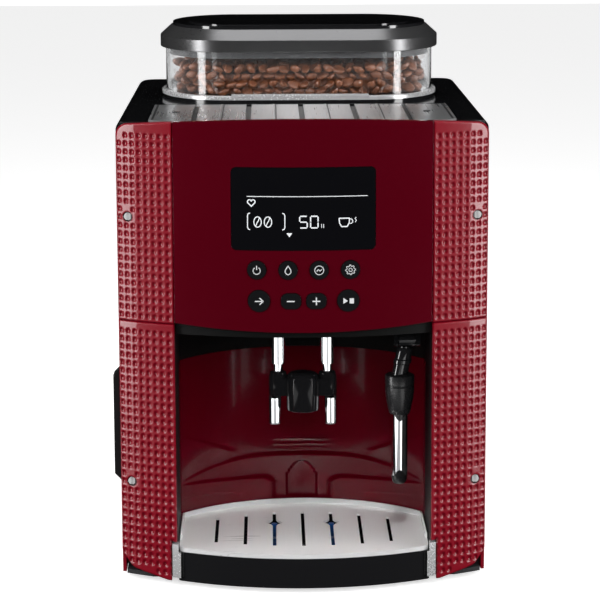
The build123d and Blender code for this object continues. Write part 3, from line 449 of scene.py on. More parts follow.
def add_plate(shape, outline, holes, x_lines, z_lines, height, rounding, back, hole_depth):
    """Adds a thin bowed plate: a grid cut to its outline and holes, with its walls and its back."""
    columns = len(x_lines)
    rows = len(z_lines)
    xs = np.repeat(np.array(x_lines), rows)
    zs = np.tile(np.array(z_lines), columns)
    loops = [outline] + holes
    cell_x = (np.array(x_lines)[:-1] + np.array(x_lines)[1:]) / 2
    cell_z = (np.array(z_lines)[:-1] + np.array(z_lines)[1:]) / 2
    mid_x = np.repeat(cell_x, rows - 1)
    mid_z = np.tile(cell_z, columns - 1)
    keep = inside_loop(outline, mid_x, mid_z)
    for hole in holes:
        keep &= ~inside_loop(hole, mid_x, mid_z)
    keep = keep.reshape(columns - 1, rows - 1)
    padded = np.zeros((columns + 1, rows + 1), bool)
    padded[1:-1, 1:-1] = keep
    corners = np.stack([padded[:-1, :-1], padded[1:, :-1], padded[:-1, 1:], padded[1:, 1:]])
    used = corners.any(0).ravel()
    rim = used & ~corners.all(0).ravel()
    found = [nearest_on(loop, xs, zs) for loop in loops]
    gaps = np.stack([f[0] for f in found])
    which = gaps.argmin(0)
    for index, (gap, px, pz) in enumerate(found):
        chosen = rim & (which == index)
        xs[chosen] = px[chosen]
        zs[chosen] = pz[chosen]
        gaps[index][chosen] = 0.0
    radii = np.array([rounding] + [0.25] * len(holes))[:, None]
    short = np.clip(radii - gaps, 0, None)
    rolled = (radii - np.sqrt(np.clip(radii * radii - short * short, 0, None))).max(0)
    ys = height(xs, zs) + rolled
    made = [None] * len(xs)
    for k in np.nonzero(used)[0]:
        made[k] = shape.verts.new((xs[k], ys[k], zs[k]))
    for i, j in zip(*np.nonzero(keep)):
        a = i * rows + j
        shape.faces.new((made[a], made[a + rows], made[a + rows + 1], made[a + 1]))
    edges = [e for k in np.nonzero(rim)[0] for e in made[k].link_edges if len(e.link_faces) == 1]
    edges = list(dict.fromkeys(edges))
    owner = {made[k]: int(which[k]) for k in np.nonzero(rim)[0]}
    deep = {}

    def below(vert):
        if vert not in deep:
            hole = owner.get(vert, 0) > 0
            y = hole_depth(vert.co.x) if hole else back(vert.co.x)
            deep[vert] = shape.verts.new((vert.co.x, max(y, vert.co.y + 0.2), vert.co.z))
        return deep[vert]

    rings = {}
    for edge in edges:
        a, b = edge.verts
        if len({owner.get(a, 0), owner.get(b, 0)}) > 1:
            continue
        wall = shape.faces.new((a, b, below(b), below(a)))
        index = owner.get(a, 0)
        # A hole's walls and the backs take the plate's second material. For the cheeks that is near-black red: painted
        # shade in the screw recesses.
        if index > 0:
            wall.material_index = 1
        rings.setdefault(index, []).append((below(a), below(b)))
    for index, pairs in rings.items():
        links = {}
        for a, b in pairs:
            links.setdefault(a, []).append(b)
            links.setdefault(b, []).append(a)
        start = pairs[0][0]
        chain = [start]
        previous = None
        while True:
            options = [v for v in links[chain[-1]] if v is not previous]
            if not options or options[0] is start:
                break
            previous = chain[-1]
            chain.append(options[0])
            if len(chain) > len(links):
                break
        if len(chain) > 2:
            lid = shape.faces.new(chain)
            lid.material_index = 1
    return made


# Cheeks

def cheek_outline(side, low, high):
    """The outline of a cheek's part between two heights."""
    inner = BAY_HALF + 0.2
    points = []
    if low < CHEEK_FOOT_Z:
        corners = [(CHEEK_FOOT_HALF, CHEEK_FOOT_Z), (CHEEK_FOOT_HALF, SKIRT_LOW_Z), (91, SKIRT_LOW_Z),
                   (115, 9.6), (HALF, 19), (HALF, high)]
        points.append((inner, CHEEK_FOOT_Z))
        points.append((CHEEK_FOOT_HALF, CHEEK_FOOT_Z))
        points.append((CHEEK_FOOT_HALF, SKIRT_LOW_Z))
        points.append((91, SKIRT_LOW_Z))
        points += round_corner(corners[2], corners[3], corners[4], 6)
        points += round_corner(corners[3], corners[4], corners[5], 6)
        points.append((HALF, high))
        points.append((inner, high))
    else:
        top = arch_z(HALF, ARCH_TOP_Z, ARCH_END_Z, HALF)
        before_x = HALF - 12
        points.append((inner, low))
        points.append((HALF, low))
        points += round_corner((HALF, low), (HALF, top), (before_x, arch_z(before_x, ARCH_TOP_Z, ARCH_END_Z, HALF)), 8)
        for step in range(12):
            x = 113 + (inner - 113) * step / 11
            points.append((x, arch_z(x, ARCH_TOP_Z, ARCH_END_Z, HALF)))
    return points


def cheek_height(xs, zs):
    """How far back the cheek's surface is: the bow, the crease and the concave pits."""
    ax = np.abs(xs)
    base = FRONT_Y + FRONT_RADIUS - np.sqrt(FRONT_RADIUS ** 2 - ax * ax)
    base = base + np.clip(ax - CREASE_X, 0, None) * CREASE_SLOPE
    s = FRONT_RADIUS * np.arcsin(ax / FRONT_RADIUS)
    column = np.clip(np.round((s - FIRST_PIT_S) / PIT_COLUMN), 0, PIT_COLUMNS - 1)
    row = np.clip(np.round((zs - FIRST_PIT_Z) / PIT_ROW), 0, PIT_ROWS - 1)
    centre_s = FIRST_PIT_S + column * PIT_COLUMN
    centre_z = FIRST_PIT_Z + row * PIT_ROW
    ds = np.abs(s - centre_s) / PIT_HALF_W
    dz = np.abs(zs - centre_z) / PIT_HALF_H
    r = (ds ** 3 + dz ** 3) ** (1 / 3)
    t = np.clip((r - 0.30) / 0.70, 0, 1)
    pit = 1 - t * t * (3 - 2 * t)
    centre_x = FRONT_RADIUS * np.sin(centre_s / FRONT_RADIUS)
    for x, z in SCREWS:
        pit = np.where(np.hypot(centre_x - x, centre_z - z) < 5.2, 0, pit)
    corner = (column == PIT_COLUMNS - 1) & (row == PIT_ROWS - 1)
    low = (centre_z < 9.6 + (centre_x - 115) * 1.25 + 3.2) & (centre_x > 112)
    slope = (centre_z < SKIRT_LOW_Z + (centre_x - 91) * 0.25 + 3.0)
    pit = np.where(corner | low | slope, 0, pit)
    seam = np.abs(centre_z - SEAM_Z) < 2.4
    pit = np.where(seam, pit * 0.0, pit)
    return base + PIT_DEPTH * pit


def make_cheeks():
    """Both cheeks, each in two parts with the thin seam between them."""
    fine = PIT_COLUMN / PIT_STEPS
    reach = [FIRST_PIT_S + fine * k for k in range(-8, 78)]
    widths = [FRONT_RADIUS * sin(s / FRONT_RADIUS) for s in reach]
    step_z = PIT_ROW / PIT_STEPS
    for side, body in ((-1, "chassis"), (1, "chassis")):
        shape = bmesh.new()
        for low, high in ((0.0, SEAM_Z - SEAM_GAP / 2), (SEAM_Z + SEAM_GAP / 2, 330.0)):
            outline = cheek_outline(side, low, min(high, SEAM_Z - SEAM_GAP / 2) if low == 0.0 else high)
            holes = [circle(x, z, SCREW_RECESS, 32) for x, z in SCREWS if low < z < high]
            first = int((max(low, 2.0) - FIRST_PIT_Z) / step_z) - 3
            last = int((min(high, 318.0) - FIRST_PIT_Z) / step_z) + 3
            lines = [FIRST_PIT_Z + step_z * k for k in range(first, last)]
            add_plate(
                shape, outline, holes, widths, lines, cheek_height, 1.3,
                lambda x: -126.0 if abs(x) > 121.0 else front_y(x) + SHELL,
                lambda x: front_y(x) + 2.8,
            )
        if side < 0:
            bmesh.ops.scale(shape, vec=(-1, 1, 1), verts=shape.verts)
        name = "left" if side < 0 else "right"
        # The second material, a near-black red, paints shade into the screw recesses.
        make_piece(f"cheek_{name}_pitted", shape, ("red_textured", "recess_painted_shade"), body,
                   (f"cheek_{name}",), 50)


# Cup bay's liner

def smooth(value, start, end):
    """0 before start, 1 after end, eased between."""
    t = min(1.0, max(0.0, (value - start) / (end - start)))
    return t * t * (3 - 2 * t)


def liner_y(x, z):
    """The liner's surface: a round back with curved ledges, a niche and three fine ridges."""
    ax = abs(x)
    upper = 61.5 - 0.0026 * max(0.0, ax - 22) ** 2
    lower = 46.3 + 0.0012 * max(0.0, ax - 29) ** 2 - 0.05 * max(0.0, 29 - ax) ** 2
    foot = 31.0 + 0.11 * ax
    outer = 66.0 + 0.5 * max(0.0, ax - 48)
    sag = 46.0
    sag -= 1.4 * smooth(-z, -outer - 0.8, -outer + 0.8) * smooth(ax, 46, 54)
    sag -= (3.9 - 1.4 * smooth(ax, 46, 54)) * smooth(-z, -upper - 1.0, -upper + 1.0)
    sag -= 3.9 * smooth(-z, -lower - 1.0, -lower + 1.0) * smooth(ax, 18, 22)
    sag += 1.3 * smooth(-z, -foot - 0.8, -foot + 0.8) * smooth(ax, 40, 46)
    arch = 56.0 - 0.09 * ax * ax
    sag += 2.4 * smooth(-z, -arch - 0.8, -arch + 0.8) * (1 - smooth(ax, 9.5, 11.5)) * smooth(z, 29.5, 31)
    for ridge in (64.6, 68.0, 71.4):
        sag -= 0.55 * smooth(0.9 - abs(z - ridge), 0.0, 0.9) * (1 - smooth(ax, 15, 20))
    radius = (BAY_HALF * BAY_HALF + sag * sag) / (2 * sag)
    return -75.0 + sag - radius + sqrt(max(0.0, radius * radius - x * x))


def make_liner():
    """The glossy red back of the bay."""
    shape = bmesh.new()
    heights = [7.5, 12, 18, 24, 28]
    z = 29.5
    while z < 86:
        heights.append(z)
        z += 0.6
    while z < 138.8:
        heights.append(z)
        z += 3.0
    heights.append(138.9)
    count = 150
    reach = 84.3
    grid = []
    for z in heights:
        row = [(-reach, -84.6), (-reach, -80.0)]
        for k in range(count + 1):
            x = reach * sin(pi / 2 * (2 * k / count - 1) * 0.92) / sin(pi / 2 * 0.92)
            row.append((x, liner_y(x, z)))
        row += [(reach, -80.0), (reach, -84.6)]
        grid.append([shape.verts.new((x, y, z)) for x, y in row])
    for low, high in zip(grid, grid[1:]):
        for k in range(len(low) - 1):
            shape.faces.new((low[k], low[k + 1], high[k + 1], high[k]))
    item = make_piece("liner_moulded", shape, ("red_liner",), "chassis", ("bay_liner",), 42)
    wall = item.modifiers.new("wall", "SOLIDIFY")
    wall.thickness = 1.4 * MM
    wall.offset = 1.0 if outward(item) else -1.0


def outward(item):
    """True if the liner's faces look away from the bay, so that its wall grows backwards."""
    face = min(item.data.polygons, key=lambda f: abs(f.center.x) + abs(f.center.z - 0.12))
    return face.normal.y > 0


# Deck panel

def add_bar(shape, x0, x1, z0, z1, front, rear, round_off=0.25, material=0):
    """Adds a bar with softened upper edges whose front end follows the bow and whose rear end is straight."""
    section = [(x0, z0), (x0, z1 - round_off), (x0 + round_off, z1), (x1 - round_off, z1), (x1, z1 - round_off), (x1, z0)]
    stations = []
    for end in (0, 1):
        stations.append([shape.verts.new((x, rear if end else front(x), z)) for x, z in section])
    near, far = stations
    for k in range(len(section)):
        n = (k + 1) % len(section)
        face = shape.faces.new((near[k], near[n], far[n], far[k]))
        face.material_index = material
    shape.faces.new(near).material_index = material
    shape.faces.new(list(reversed(far))).material_index = material


def make_deck_panel():
    """The metal panel: lands between grooves, a thin rib on each land, and short stubs at the ends. The groove floors,
    and thin strips beside the ribs, the stubs, the sides and the rear edge, are near-black: painted shade and painted
    shadow.
    """
    low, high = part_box("rib_panel")
    half = high.x / MM
    rear = high.y / MM
    top = 312.2
    base = low.z / MM
    groove = 3.6
    pitch = 35.5
    shape = bmesh.new()
    # The floor under the grooves is near-black: painted shade in the slots.
    add_bar(shape, -half, half, base, base + 0.9, lambda x: front_y(x, 7.2) + 0.3, rear - 0.3, 0.1, 1)
    edges = [-half] + [step * pitch for step in range(-2, 3)] + [half]
    for number in range(len(edges) - 1):
        x0 = edges[number] + (groove / 2 if number else 0)
        x1 = edges[number + 1] - (groove / 2 if number < len(edges) - 2 else 0)
        pieces = 8
        for k in range(pieces):
            a = x0 + (x1 - x0) * k / pieces
            b = x0 + (x1 - x0) * (k + 1) / pieces
            add_bar(shape, a, b, base + 0.9, top, lambda x: front_y(x, 7.2), rear, 0.02)
        add_bar(shape, x0, x0 + 0.7, top, top + 0.25, lambda x: front_y(x, 8.5), rear - 3, 0.12)
        add_bar(shape, x1 - 0.7, x1, top, top + 0.25, lambda x: front_y(x, 8.5), rear - 3, 0.12)
        middle = (edges[number] + edges[number + 1]) / 2
        if abs(middle) > 80:
            middle = 86.3 if middle > 0 else -86.3
            add_bar(shape, middle - 0.5, middle + 0.5, top, top + 0.5, lambda x: -88.0, rear - 5, 0.2)
            side = -1 if middle > 0 else 1
            a = middle + side * 4.5
            # A near-black strip beside the stub: painted shadow.
            add_bar(shape, min(a, middle), max(a, middle), top, top + 0.5, lambda x: -90.5, -88.0, 0.2, 1)
        else:
            add_bar(shape, middle - 1.5, middle - 0.1, top, top + 0.6, lambda x: front_y(x, 10), rear - 4, 0.25)
            # A near-black strip beside each rib: painted shadow.
            add_bar(shape, middle + 0.1, middle + 1.0, top, top + 0.15, lambda x: front_y(x, 10), rear - 4, 0.05, 1)
    for side in (-1, 1):
        x = side * 98.2
        # Thin near-black lines at the sides and along the rear edge: painted shade.
        add_bar(shape, x - 0.7, x + 0.7, top, top + 0.12, lambda x: front_y(x, 9), rear - 4, 0.05, 1)
    add_bar(shape, -half + 1, half - 1, top, top + 0.12, lambda x: rear - 2.2, rear - 0.8, 0.05, 1)
    return make_piece("deck_panel_ribbed", shape, ("deck_metal", "groove_painted_shade"), "chassis", ("rib_panel",),
                      25)


# Turned pieces

def add_lathe(shape, x, y, profile, around=64):
    """Adds a solid turned about an upright axis."""
    rings = []
    for radius, z in profile:
        if radius <= 0:
            rings.append([shape.verts.new((x, y, z))])
        else:
            rings.append([
                shape.verts.new((x + radius * cos(2 * pi * k / around), y + radius * sin(2 * pi * k / around), z))
                for k in range(around)
            ])
    for low, high in zip(rings, rings[1:]):
        for k in range(around):
            n = (k + 1) % around
            if len(low) == 1:
                shape.faces.new((low[0], high[n], high[k]))
            elif len(high) == 1:
                shape.faces.new((low[k], low[n], high[0]))
            else:
                shape.faces.new((low[k], low[n], high[n], high[k]))


def add_tongue(shape, x, y, radius, z_wide, z_tip, half_width, thick=0.7):
    """Adds a pointed tongue that hugs a tube's front."""
    rows = 8
    across = 8
    front = []
    rear = []
    for i in range(rows + 1):
        t = i / rows
        z = z_wide + (z_tip - z_wide) * t
        half = half_width * (1 - t ** 3) + 0.05
        line = [half * (2 * k / across - 1) for k in range(across + 1)]
        front.append([shape.verts.new((x + w, y - sqrt((radius + thick) ** 2 - w * w), z)) for w in line])
        rear.append([shape.verts.new((x + w, y - sqrt(radius ** 2 - w * w), z)) for w in line])
    for i in range(rows):
        for k in range(across):
            shape.faces.new((front[i][k], front[i][k + 1], front[i + 1][k + 1], front[i + 1][k]))
            shape.faces.new((rear[i][k + 1], rear[i][k], rear[i + 1][k], rear[i + 1][k + 1]))
        shape.faces.new((front[i][0], front[i + 1][0], rear[i + 1][0], rear[i][0]))
        shape.faces.new((front[i + 1][-1], front[i][-1], rear[i][-1], rear[i + 1][-1]))
    for k in range(across):
        shape.faces.new((front[0][k + 1], front[0][k], rear[0][k], rear[0][k + 1]))
        shape.faces.new((front[-1][k], front[-1][k + 1], rear[-1][k + 1], rear[-1][k]))


def make_wand_pieces():
    """The wand's leaning arm, its grip with a cap, groove and tongue, and its nozzle."""
    x = 65.3
    y = -113.0
    pivot_x = 70.0
    pivot_z = 161.0
    low_z = 137.0
    shape = bmesh.new()
    add_lathe(shape, 0, y, [
        (0, low_z), (5.5, low_z), (5.5, 137.6), (5.5, 143.6), (5.5, 144.2), (5.8, 144.6), (6.2, 144.9), (6.2, 147.1),
        (5.8, 147.4), (5.5, 147.8), (5.5, 148.4), (5.4, 153.4), (5.2, 154.6), (4.6, 155.4), (4.2, 155.6), (4.2, 156.4),
        (0, 156.5),
    ])
    for vert in shape.verts:
        vert.co.x += x + (vert.co.z - low_z) * (pivot_x - x) / (pivot_z - low_z)
    eye = bmesh.new()
    add_lathe(eye, 0, 0, [(1.62, -5.6), (4.5, -5.6), (4.8, -5.3), (4.8, 5.3), (4.5, 5.6), (1.62, 5.6), (1.62, -5.6)])
    bmesh.ops.remove_doubles(eye, verts=eye.verts, dist=1e-4)
    bmesh.ops.rotate(eye, cent=(0, 0, 0), matrix=Matrix.Rotation(pi / 2, 3, "Y"), verts=eye.verts)
    bmesh.ops.translate(eye, vec=(pivot_x, y, pivot_z), verts=eye.verts)
    spare = bpy.data.meshes.new("eye")
    eye.to_mesh(spare)
    eye.free()
    shape.from_mesh(spare)
    bpy.data.meshes.remove(spare)
    make_piece("wand_upper_tube", shape, ("black_gloss",), "wand", ("wand_arm",))
    shape = bmesh.new()
    add_lathe(shape, x, y, [
        (0, 110.0), (6.6, 110.0), (7.0, 110.4), (8.0, 114.0), (9.3, 121.0), (9.8, 125.0), (9.85, 128.9),
        (9.5, 129.4), (9.5, 130.0), (9.95, 130.5), (10.0, 135.4), (9.7, 136.5), (8.9, 137.0), (0, 137.0),
    ])
    add_tongue(shape, x, y, 5.55, 112.0, 105.4, 3.6)
    make_piece("wand_grip", shape, ("black_satin",), "wand", ("wand_collar",))
    shape = bmesh.new()
    add_lathe(shape, x, y, [
        (0, 61.0), (2.6, 61.0), (3.6, 61.4), (4.6, 62.6), (5.1, 64.4), (5.2, 66.6), (5.0, 67.0), (0, 67.0),
    ])
    add_tongue(shape, x, y, 5.55, 66.8, 71.6, 3.4, 0.4)
    make_piece("wand_nozzle", shape, ("black_satin",), "wand", ("wand_tip",))


def make_spout_pieces():
    """The round middle and the arms of the carriage, and the two nozzles with their elbows."""
    y = -103.0
    shape = bmesh.new()
    add_lathe(shape, 0, y - 2, [
        (0, 111.0), (10.6, 111.0), (11.0, 111.4), (11.2, 113.0), (11.45, 120.0), (11.5, 131.0), (11.2, 133.6),
        (10.2, 135.8), (8.4, 137.0), (5.0, 137.5), (0, 137.6),
    ], 72)
    for side in (-1, 1):
        add_lathe(shape, side * 16.7, y, [
            (0, 121.2), (6.2, 121.2), (6.5, 121.8), (6.6, 128.0), (6.3, 134.0), (5.6, 136.8), (4.4, 137.6), (0, 137.6),
        ], 48)
    cross = [(-17, y - 6.6, 121.4), (17, y - 6.6, 121.4), (17, y + 6.6, 121.4), (-17, y + 6.6, 121.4)]
    low = [shape.verts.new(c) for c in cross]
    high = [shape.verts.new((c[0], c[1], 133.0)) for c in cross]
    shape.faces.new(low)
    shape.faces.new(high)
    for k in range(4):
        shape.faces.new((low[k], low[(k + 1) % 4], high[(k + 1) % 4], high[k]))
    item = make_piece("spout_carriage", shape, ("black_gloss",), "spout", ("spout_body",))
    shape = bmesh.new()
    for side in (-1, 1):
        add_lathe(shape, side * 19.0, y, [
            (0, 103.0), (3.3, 103.0), (3.4, 101.0), (4.1, 101.0), (4.4, 101.3), (4.5, 101.8), (4.5, 102.4),
            (4.6, 117.0), (4.6, 119.2), (4.5, 120.2), (4.2, 121.2), (3.6, 121.9), (0, 122.0),
        ], 48)
    make_piece("spout_nozzles", shape, ("chrome",), "spout", ("spout_tips",))



# Icons: thin raised shapes that follow the surface under them

def ribbon(points, width, closed=False):
    """A stroke of constant width along points, as four-cornered outlines."""
    strips = []
    count = len(points) if closed else len(points) - 1
    for k in range(count):
        a = Vector(points[k])
        b = Vector(points[(k + 1) % len(points)])
        along = (b - a).normalized()
        side = Vector((-along.y, along.x)) * width / 2
        over = along * width * 0.15
        strips.append([tuple(a - side - over), tuple(b - side + over), tuple(b + side + over), tuple(a + side - over)])
    return strips


def arc_points(x, z, rx, rz, start, end, count=16):
    """Points along an elliptical arc, its angles in degrees."""
    points = []
    for k in range(count + 1):
        angle = radians(start + (end - start) * k / count)
        points.append((x + rx * cos(angle), z + rz * sin(angle)))
    return points


def add_flat(shape, polygons, surface, lift, thick=0.12):
    """Adds each polygon as a thin plate standing lift in front of the surface."""
    for polygon in polygons:
        front = [shape.verts.new((x, surface(x) - lift - thick, z)) for x, z in polygon]
        rear = [shape.verts.new((x, surface(x) - lift, z)) for x, z in polygon]
        shape.faces.new(front)
        count = len(polygon)
        for k in range(count):
            shape.faces.new((front[k], rear[k], rear[(k + 1) % count], front[(k + 1) % count]))
        shape.faces.new(list(reversed(rear)))


def digit(x, z, width, height, lit, stroke=0.8):
    """A seven-segment digit's lit bars."""
    w = width / 2 - stroke / 2
    h = height / 2 - stroke / 2
    gap = stroke * 0.55
    bars = {
        "top": ((x - w + gap, z + h), (x + w - gap, z + h)),
        "middle": ((x - w + gap, z), (x + w - gap, z)),
        "bottom": ((x - w + gap, z - h), (x + w - gap, z - h)),
        "upper_left": ((x - w, z + h - gap), (x - w, z + gap)),
        "upper_right": ((x + w, z + h - gap), (x + w, z + gap)),
        "lower_left": ((x - w, z - gap), (x - w, z - h + gap)),
        "lower_right": ((x + w, z - gap), (x + w, z - h + gap)),
    }
    strips = []
    for name in lit:
        strips += ribbon(bars[name], stroke)
    return strips


def display_icons():
    """The generic signs on the display."""
    z = DISPLAY_Z
    signs = ribbon([(-36.4 + 7.78 * k, z + 8.2) for k in range(11)], 0.42)
    heart = []
    for k in range(28):
        t = 2 * pi * k / 28
        hx = 16 * sin(t) ** 3
        hz = 13 * cos(t) - 5 * cos(2 * t) - 2 * cos(3 * t) - cos(4 * t)
        heart.append((-33.6 + hx * 0.155, z + 4.2 + hz * 0.155))
    signs += ribbon(heart, 0.7, True)
    for x, turn in ((-36.1, 1), (-12.0, -1)):
        low = z - 13.5
        high = z - 2.6
        signs += ribbon([(x + 1.6 * turn, high), (x + 0.5 * turn, high - 0.4), (x, high - 1.6), (x, low + 1.6),
                         (x + 0.5 * turn, low + 0.4), (x + 1.6 * turn, low)], 0.6)
    for x in (-29.6, -22.9):
        signs += ribbon(arc_points(x, z - 8.4, 2.4, 3.4, 0, 342, 19), 0.6, True)
        signs += ribbon([(x - 1.1, z - 10.9), (x - 0.4, z - 9.0), (x + 0.4, z - 7.8), (x + 1.1, z - 5.9)], 0.55)
    signs += digit(0.0, z - 8.4, 5.6, 8.4, ("top", "middle", "bottom", "upper_left", "lower_right"))
    signs += digit(7.0, z - 8.4, 5.6, 8.4, ("top", "bottom", "upper_left", "upper_right", "lower_left", "lower_right"))
    signs += ribbon([(11.7, z - 12.2), (11.7, z - 9.8)], 0.4) + ribbon([(13.0, z - 12.2), (13.0, z - 9.8)], 0.4)
    cup = [(23.0, z - 6.2), (23.3, z - 9.4), (24.6, z - 11.6), (28.2, z - 11.6), (29.5, z - 9.4), (29.8, z - 6.2)]
    signs += ribbon(cup, 0.7, True)
    signs += ribbon(arc_points(30.4, z - 8.2, 1.5, 1.5, 110, -110, 8), 0.5)
    signs += ribbon([(33.6, z - 8.8), (34.2, z - 7.6), (33.4, z - 6.6), (34.0, z - 5.6)], 0.45)
    signs.append([(-11.0, z - 15.6), (-7.2, z - 15.6), (-9.1, z - 18.2)])
    return signs


def button_icons():
    """The generic sign on each button."""
    signs = {}
    x, z, r = ROUND_BUTTONS["button_power"]
    signs["button_power"] = ribbon(arc_points(x, z - 0.3, 2.3, 2.3, 125, 415, 18), 0.6) \
        + ribbon([(x, z + 2.9), (x, z + 0.2)], 0.6)
    x, z, r = ROUND_BUTTONS["button_clean"]
    signs["button_clean"] = ribbon([(x, z + 3.0), (x - 1.8, z + 0.2), (x - 1.9, z - 1.2), (x - 1.0, z - 2.4),
                                    (x, z - 2.8), (x + 1.0, z - 2.4), (x + 1.9, z - 1.2), (x + 1.8, z + 0.2)],
                                   0.6, True)
    x, z, r = ROUND_BUTTONS["button_descale"]
    signs["button_descale"] = ribbon(arc_points(x, z, 2.9, 2.9, 0, 340, 17), 0.5, True) \
        + ribbon([(x - 1.6, z - 0.6), (x - 0.6, z + 0.5), (x + 0.5, z - 0.5), (x + 1.6, z + 0.6)], 0.55)
    x, z, r = ROUND_BUTTONS["button_settings"]
    teeth = []
    for k in range(32):
        reach = 3.2 if k % 4 in (0, 1) else 2.45
        teeth.append((x + reach * cos(2 * pi * k / 32), z + reach * sin(2 * pi * k / 32)))
    signs["button_settings"] = ribbon(teeth, 0.5, True) + ribbon(circle(x, z, 1.1, 14), 0.5, True)
    x, z, r = ROUND_BUTTONS["button_next"]
    signs["button_next"] = ribbon([(x - 2.6, z), (x + 2.4, z)], 0.7) \
        + ribbon([(x + 0.4, z + 2.1), (x + 2.7, z), (x + 0.4, z - 2.1)], 0.7)
    x, z, r = ROUND_BUTTONS["button_start"]
    signs["button_start"] = [[(x - 3.3, z - 2.0), (x - 0.3, z), (x - 3.3, z + 2.0)],
                             [(x + 0.8, z - 1.7), (x + 3.6, z - 1.7), (x + 3.6, z + 1.7), (x + 0.8, z + 1.7)]]
    x = PILL_BUTTONS["button_minus"]
    signs["button_minus"] = ribbon([(x - 2.6, PILL_Z), (x + 2.2, PILL_Z)], 0.8)
    x = PILL_BUTTONS["button_plus"]
    signs["button_plus"] = ribbon([(x - 2.4, PILL_Z), (x + 2.4, PILL_Z)], 0.8) \
        + ribbon([(x, PILL_Z - 2.4), (x, PILL_Z - 0.45)], 0.8) + ribbon([(x, PILL_Z + 0.45), (x, PILL_Z + 2.4)], 0.8)
    return signs


def make_icons():
    """The display's and the buttons' signs."""
    shape = bmesh.new()
    add_flat(shape, display_icons(), lambda x: front_y(x, 0.2), 0.02, 0.10)
    make_piece("display_signs", shape, ("icon_lit",), "chassis", ())
    for name, polygons in button_icons().items():
        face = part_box(name)[0].y / MM
        shape = bmesh.new()
        add_flat(shape, polygons, lambda x, face=face: face, 0.01, 0.08)
        # The buttons' signs are pale print with a faint painted glow.
        make_piece(f"{name}_sign", shape, ("icon_pale_painted_glow",), name, ())


# Beans

def add_bean(shape, place, turn, length):
    """A coffee bean: a half-round body with a grooved flat side."""
    width = length * 0.74
    height = length * 0.64
    rings = 8
    around = 12
    grid = []
    for i in range(rings + 1):
        u = pi * i / rings
        ring = []
        for j in range(around):
            v = 2 * pi * j / around
            x = -cos(u) * length / 2
            y = sin(u) * cos(v) * width / 2
            z = sin(u) * sin(v) * height / 2
            if z > 0:
                z *= 0.55
                if abs(y) < width * 0.14:
                    z -= height * 0.16 * sin(u)
            point = turn @ Vector((x, y, z)) + place
            ring.append(point)
            if i in (0, rings):
                break
        grid.append([shape.verts.new(p) for p in ring])
    for i in range(rings):
        for j in range(around):
            k = (j + 1) % around
            low = grid[i]
            high = grid[i + 1]
            if len(low) == 1:
                shape.faces.new((low[0], high[j], high[k]))
            elif len(high) == 1:
                shape.faces.new((low[j], high[0], low[k]))
            else:
                shape.faces.new((low[j], high[j], high[k], low[k]))


def within_hopper(x, y, margin):
    """True where a bean fits inside the hopper's wall."""
    depth = HOPPER_D - margin
    reach = HOPPER_W - HOPPER_FLAT - margin
    if abs(x) <= HOPPER_FLAT:
        return abs(y - HOPPER_Y) < depth
    ex = (abs(x) - HOPPER_FLAT) / reach
    ey = (y - HOPPER_Y) / depth
    return ex * ex + ey * ey < 1


def make_beans():
    """A heap of beans that fills the hopper round its fineness knob."""
    dice = random.Random(7)
    shape = bmesh.new()
    pitch = 7.6
    level = 0
    z = HOPPER_FOOT + 5.2
    while z < BEANS_TOP - 3.5:
        shift = (level % 2) * pitch / 2
        for i in range(-13, 14):
            for j in range(-10, 11):
                x = i * pitch + shift + dice.uniform(-1.3, 1.3)
                y = HOPPER_Y + j * pitch + shift + dice.uniform(-1.3, 1.3)
                roll = Matrix.Rotation(dice.uniform(0, 2 * pi), 3, "Z")
                tilt = Matrix.Rotation(dice.uniform(-1.1, 1.1), 3, "X") @ Matrix.Rotation(dice.uniform(-0.7, 0.7), 3, "Y")
                length = dice.uniform(8.6, 10.2)
                lift = dice.uniform(-0.9, 0.9)
                edge = not within_hopper(x, y, 15)
                middle = level in (0, 1, 2) and not edge
                if middle or not within_hopper(x, y, 7.2):
                    continue
                if hypot(x - KNOB[0], y - KNOB[1]) < 18:
                    continue
                place = Vector((x, y, min(z + lift, BEANS_TOP - 5.2)))
                add_bean(shape, place, roll @ tilt, length)
        z += 5.4
        level += 1
    core = []
    for k in range(48):
        angle = 2 * pi * k / 48
        along = cos(angle)
        x = (HOPPER_FLAT + 30 * abs(along)) * (1 if along > 0 else -1) if abs(along) > 0.2 else 240 * along
        core.append((x, HOPPER_Y + 50 * sin(angle)))
    core = [c for c in core if hypot(c[0] - KNOB[0], c[1] - KNOB[1]) > 19]
    low = [shape.verts.new((x, y, HOPPER_FOOT + 2.6)) for x, y in core]
    high = [shape.verts.new((x, y, BEANS_TOP - 10)) for x, y in core]
    shape.faces.new(low)
    shape.faces.new(high)
    for k in range(len(core)):
        shape.faces.new((low[k - 1], low[k], high[k], high[k - 1]))
    make_piece("bean_heap", shape, ("bean_brown",), "chassis", ("coffee_beans",), 80)


# Stage, lights and camera

def quad(name, corners, colour, rough=0.9, glow=0.0):
    """A flat card or floor for the studio."""
    mesh = bpy.data.meshes.new(name)
    mesh.from_pydata(corners, [], [(0, 1, 2, 3)])
    item = bpy.data.objects.new(name, mesh)
    bpy.context.scene.collection.objects.link(item)
    paint = finish(name + "_paint", colour, rough, vary=0.01, relief=0.0, rough_vary=0.02,
                   Emission_Color=(1, 1, 1, 1), Emission_Strength=glow)
    mesh.materials.append(paint)
    return item


def lamp(name, place, target, width, height, power, glossy=True, colour=(1, 1, 1)):
    """A rectangular softbox aimed at a target."""
    data = bpy.data.lights.new(name, "AREA")
    data.shape = "RECTANGLE"
    data.size = width
    data.size_y = height
    data.energy = power
    data.color = colour
    item = bpy.data.objects.new(name, data)
    bpy.context.scene.collection.objects.link(item)
    item.location = place
    item.rotation_euler = (Vector(target) - Vector(place)).to_track_quat("-Z", "Y").to_euler()
    item.visible_glossy = glossy
    item.visible_camera = False
    return item


